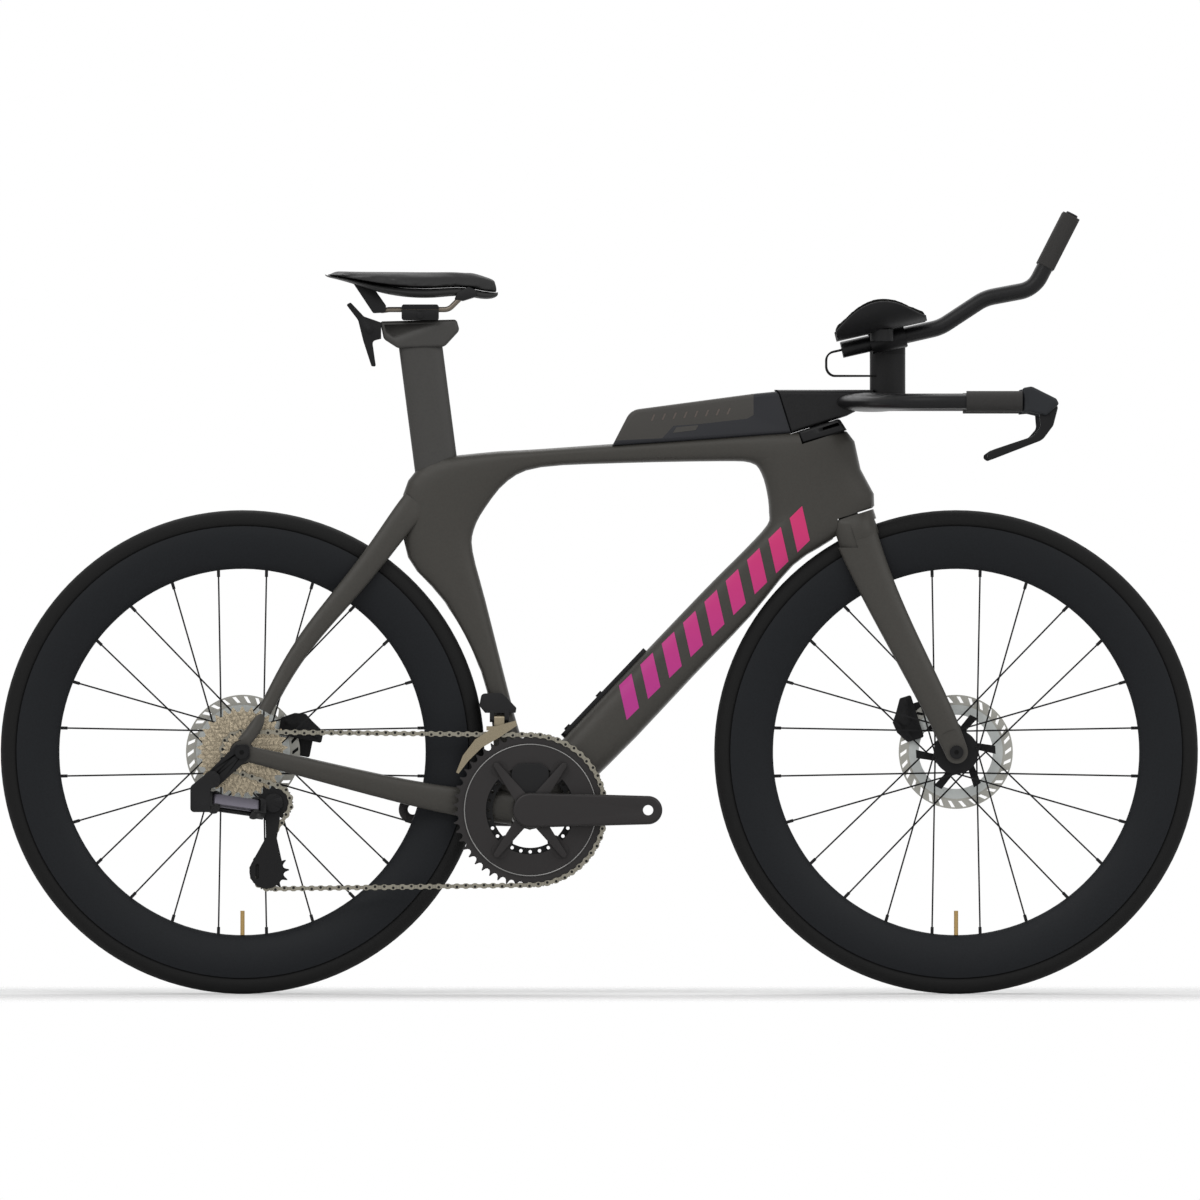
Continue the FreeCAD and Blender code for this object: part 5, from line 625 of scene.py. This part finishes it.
def add_chain_pin_shade():
    """Dark discs on the pin ends, in the middle of each end of the outer plates: painted shade for
    the dark holes there.
    """
    low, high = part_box("chain")
    mesh = bpy.data.meshes.new("chain_pin_shade")
    build = bmesh.new()
    for island in chain_islands():
        sides = [place.y for place in island]
        if min(sides) > low[1] + PIN_PROUD:
            continue
        middle = sum(island, Vector()) / len(island)
        flat_middle = Vector((middle.x, 0, middle.z))
        far = max(island, key=lambda place: (Vector((place.x, 0, place.z)) - flat_middle).length)
        opposite = max(island, key=lambda place: (place - far).length)
        course = Vector((far.x - opposite.x, 0, far.z - opposite.z)).normalized()
        for way in (-1, 1):
            centre = middle + course * (way * CHAIN_PITCH / 2)
            rims = []
            for side in (low[1] - PIN_PROUD, high[1] + PIN_PROUD):
                outline = round_outline(centre, PIN_RADIUS, PIN_CORNERS)
                rims.append([build.verts.new((ahead, side, up)) for ahead, up in outline])
            build.faces.new(rims[0])
            build.faces.new(rims[1])
            for index in range(PIN_CORNERS):
                following = (index + 1) % PIN_CORNERS
                build.faces.new((rims[0][index], rims[0][following], rims[1][following],
                                 rims[1][index]))
    bmesh.ops.recalc_face_normals(build, faces=build.faces)
    build.to_mesh(mesh)
    build.free()
    obj = new_object("chain_pin_shade", mesh)
    # Painted shade: the discs take the dark spoke colour.
    mesh.materials.append(materials["spoke_steel"])
    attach(obj, "frame")


add_box_details()
add_rail_mounts()
add_sockets()
add_ring_highlight()
add_chain_pin_shade()

# Floor, light and camera.
FLOOR_REACH = 3.0
FLOOR_COLOUR = (250, 250, 250)
FLOOR_FADE_AHEAD = (0.85, 1.5)
FLOOR_FADE_SIDE = (0.25, 0.9)
CAMERA_DISTANCE = 40.0
CAMERA_AHEAD = 1 * MM
CAMERA_HEIGHT = 552 * MM
PICTURE_WIDTH = 1681.7 * MM
SENSOR = 36.0
CAMERA_CLIP = 100


def fade(tree, source, limits):
    """A value that falls from 1 to 0 as the distance from the middle grows past the two limits."""
    reach = tree.nodes.new("ShaderNodeMath")
    reach.operation = "ABSOLUTE"
    spread = tree.nodes.new("ShaderNodeMapRange")
    spread.interpolation_type = "SMOOTHSTEP"
    spread.inputs["From Min"].default_value = limits[0]
    spread.inputs["From Max"].default_value = limits[1]
    spread.inputs["To Min"].default_value = 1
    spread.inputs["To Max"].default_value = 0
    tree.links.new(source, reach.inputs[0])
    tree.links.new(reach.outputs["Value"], spread.inputs["Value"])
    return spread.outputs["Result"]


def add_floor():
    """A pale floor under the wheels that fades into the white all round."""
    mesh = bpy.data.meshes.new("floor")
    corners = [(-1, -1), (1, -1), (1, 1), (-1, 1)]
    mesh.from_pydata([(x * FLOOR_REACH, y * FLOOR_REACH, 0) for x, y in corners], [], [(0, 1, 2, 3)])
    floor = new_object("floor", mesh)
    material = make_material("floor", FLOOR_COLOUR, metal=0.0, roughness=0.9, gloss=0.1, grain=5.0,
                             depth=0.0, change=0.0, corners=0.0)
    tree = material.node_tree
    place = tree.nodes.new("ShaderNodeNewGeometry")
    parts = tree.nodes.new("ShaderNodeSeparateXYZ")
    both = tree.nodes.new("ShaderNodeMath")
    both.operation = "MULTIPLY"
    clear = tree.nodes.new("ShaderNodeBsdfTransparent")
    mix = tree.nodes.new("ShaderNodeMixShader")
    tree.links.new(place.outputs["Position"], parts.inputs["Vector"])
    tree.links.new(fade(tree, parts.outputs["X"], FLOOR_FADE_AHEAD), both.inputs[0])
    tree.links.new(fade(tree, parts.outputs["Y"], FLOOR_FADE_SIDE), both.inputs[1])
    tree.links.new(both.outputs["Value"], mix.inputs["Fac"])
    tree.links.new(clear.outputs["BSDF"], mix.inputs[1])
    tree.links.new(tree.nodes["Principled BSDF"].outputs["BSDF"], mix.inputs[2])
    tree.links.new(mix.outputs["Shader"], tree.nodes["Material Output"].inputs["Surface"])
    mesh.materials.append(material)


WORLD_STRENGTH = 0.42


def add_world():
    """Grey light all round the object, and plain white where the camera sees past it."""
    world = bpy.data.worlds.new("studio")
    bpy.context.scene.world = world
    world.use_nodes = True
    tree = world.node_tree
    tree.nodes.clear()
    out = tree.nodes.new("ShaderNodeOutputWorld")
    light = tree.nodes.new("ShaderNodeBackground")
    light.inputs["Color"].default_value = (1, 1, 1, 1)
    light.inputs["Strength"].default_value = WORLD_STRENGTH
    white = tree.nodes.new("ShaderNodeBackground")
    white.inputs["Color"].default_value = (1, 1, 1, 1)
    white.inputs["Strength"].default_value = 1
    path = tree.nodes.new("ShaderNodeLightPath")
    seen = tree.nodes.new("ShaderNodeMath")
    seen.operation = "MAXIMUM"
    plain = tree.nodes.new("ShaderNodeMath")
    plain.operation = "MAXIMUM"
    mix = tree.nodes.new("ShaderNodeMixShader")
    tree.links.new(path.outputs["Is Camera Ray"], seen.inputs[0])
    tree.links.new(path.outputs["Is Glossy Ray"], seen.inputs[1])
    tree.links.new(seen.outputs["Value"], plain.inputs[0])
    tree.links.new(path.outputs["Is Transmission Ray"], plain.inputs[1])
    tree.links.new(plain.outputs["Value"], mix.inputs["Fac"])
    tree.links.new(light.outputs["Background"], mix.inputs[1])
    tree.links.new(white.outputs["Background"], mix.inputs[2])
    tree.links.new(mix.outputs["Shader"], out.inputs["Surface"])


# Area lamps: place, size and power in watts.
LAMPS = (
    ((-1.6, -3.2, 3.2), 2.6, 48),
    ((2.2, -2.6, 2.6), 2.2, 30),
    ((0.0, 1.8, 3.4), 3.0, 55),
)
LAMP_TARGET = Vector((0, 0, 0.5))


def add_lamps():
    for index, (place, size, power) in enumerate(LAMPS):
        lamp = bpy.data.lights.new("lamp_%d" % index, "AREA")
        lamp.size = size
        lamp.energy = power
        obj = bpy.data.objects.new("lamp_%d" % index, lamp)
        collection.objects.link(obj)
        obj.location = place
        obj.rotation_euler = (LAMP_TARGET - Vector(place)).to_track_quat("-Z", "Y").to_euler()


def add_camera():
    camera = bpy.data.cameras.new("camera")
    camera.sensor_width = SENSOR
    camera.lens = SENSOR * CAMERA_DISTANCE / PICTURE_WIDTH
    camera.clip_end = CAMERA_CLIP
    obj = bpy.data.objects.new("camera", camera)
    collection.objects.link(obj)
    obj.location = (CAMERA_AHEAD, -CAMERA_DISTANCE, CAMERA_HEIGHT)
    obj.rotation_euler = (math.pi / 2, 0, 0)
    bpy.context.scene.camera = obj


add_floor()
add_world()
add_lamps()
add_camera()
bpy.context.scene.view_settings.view_transform = "Standard"
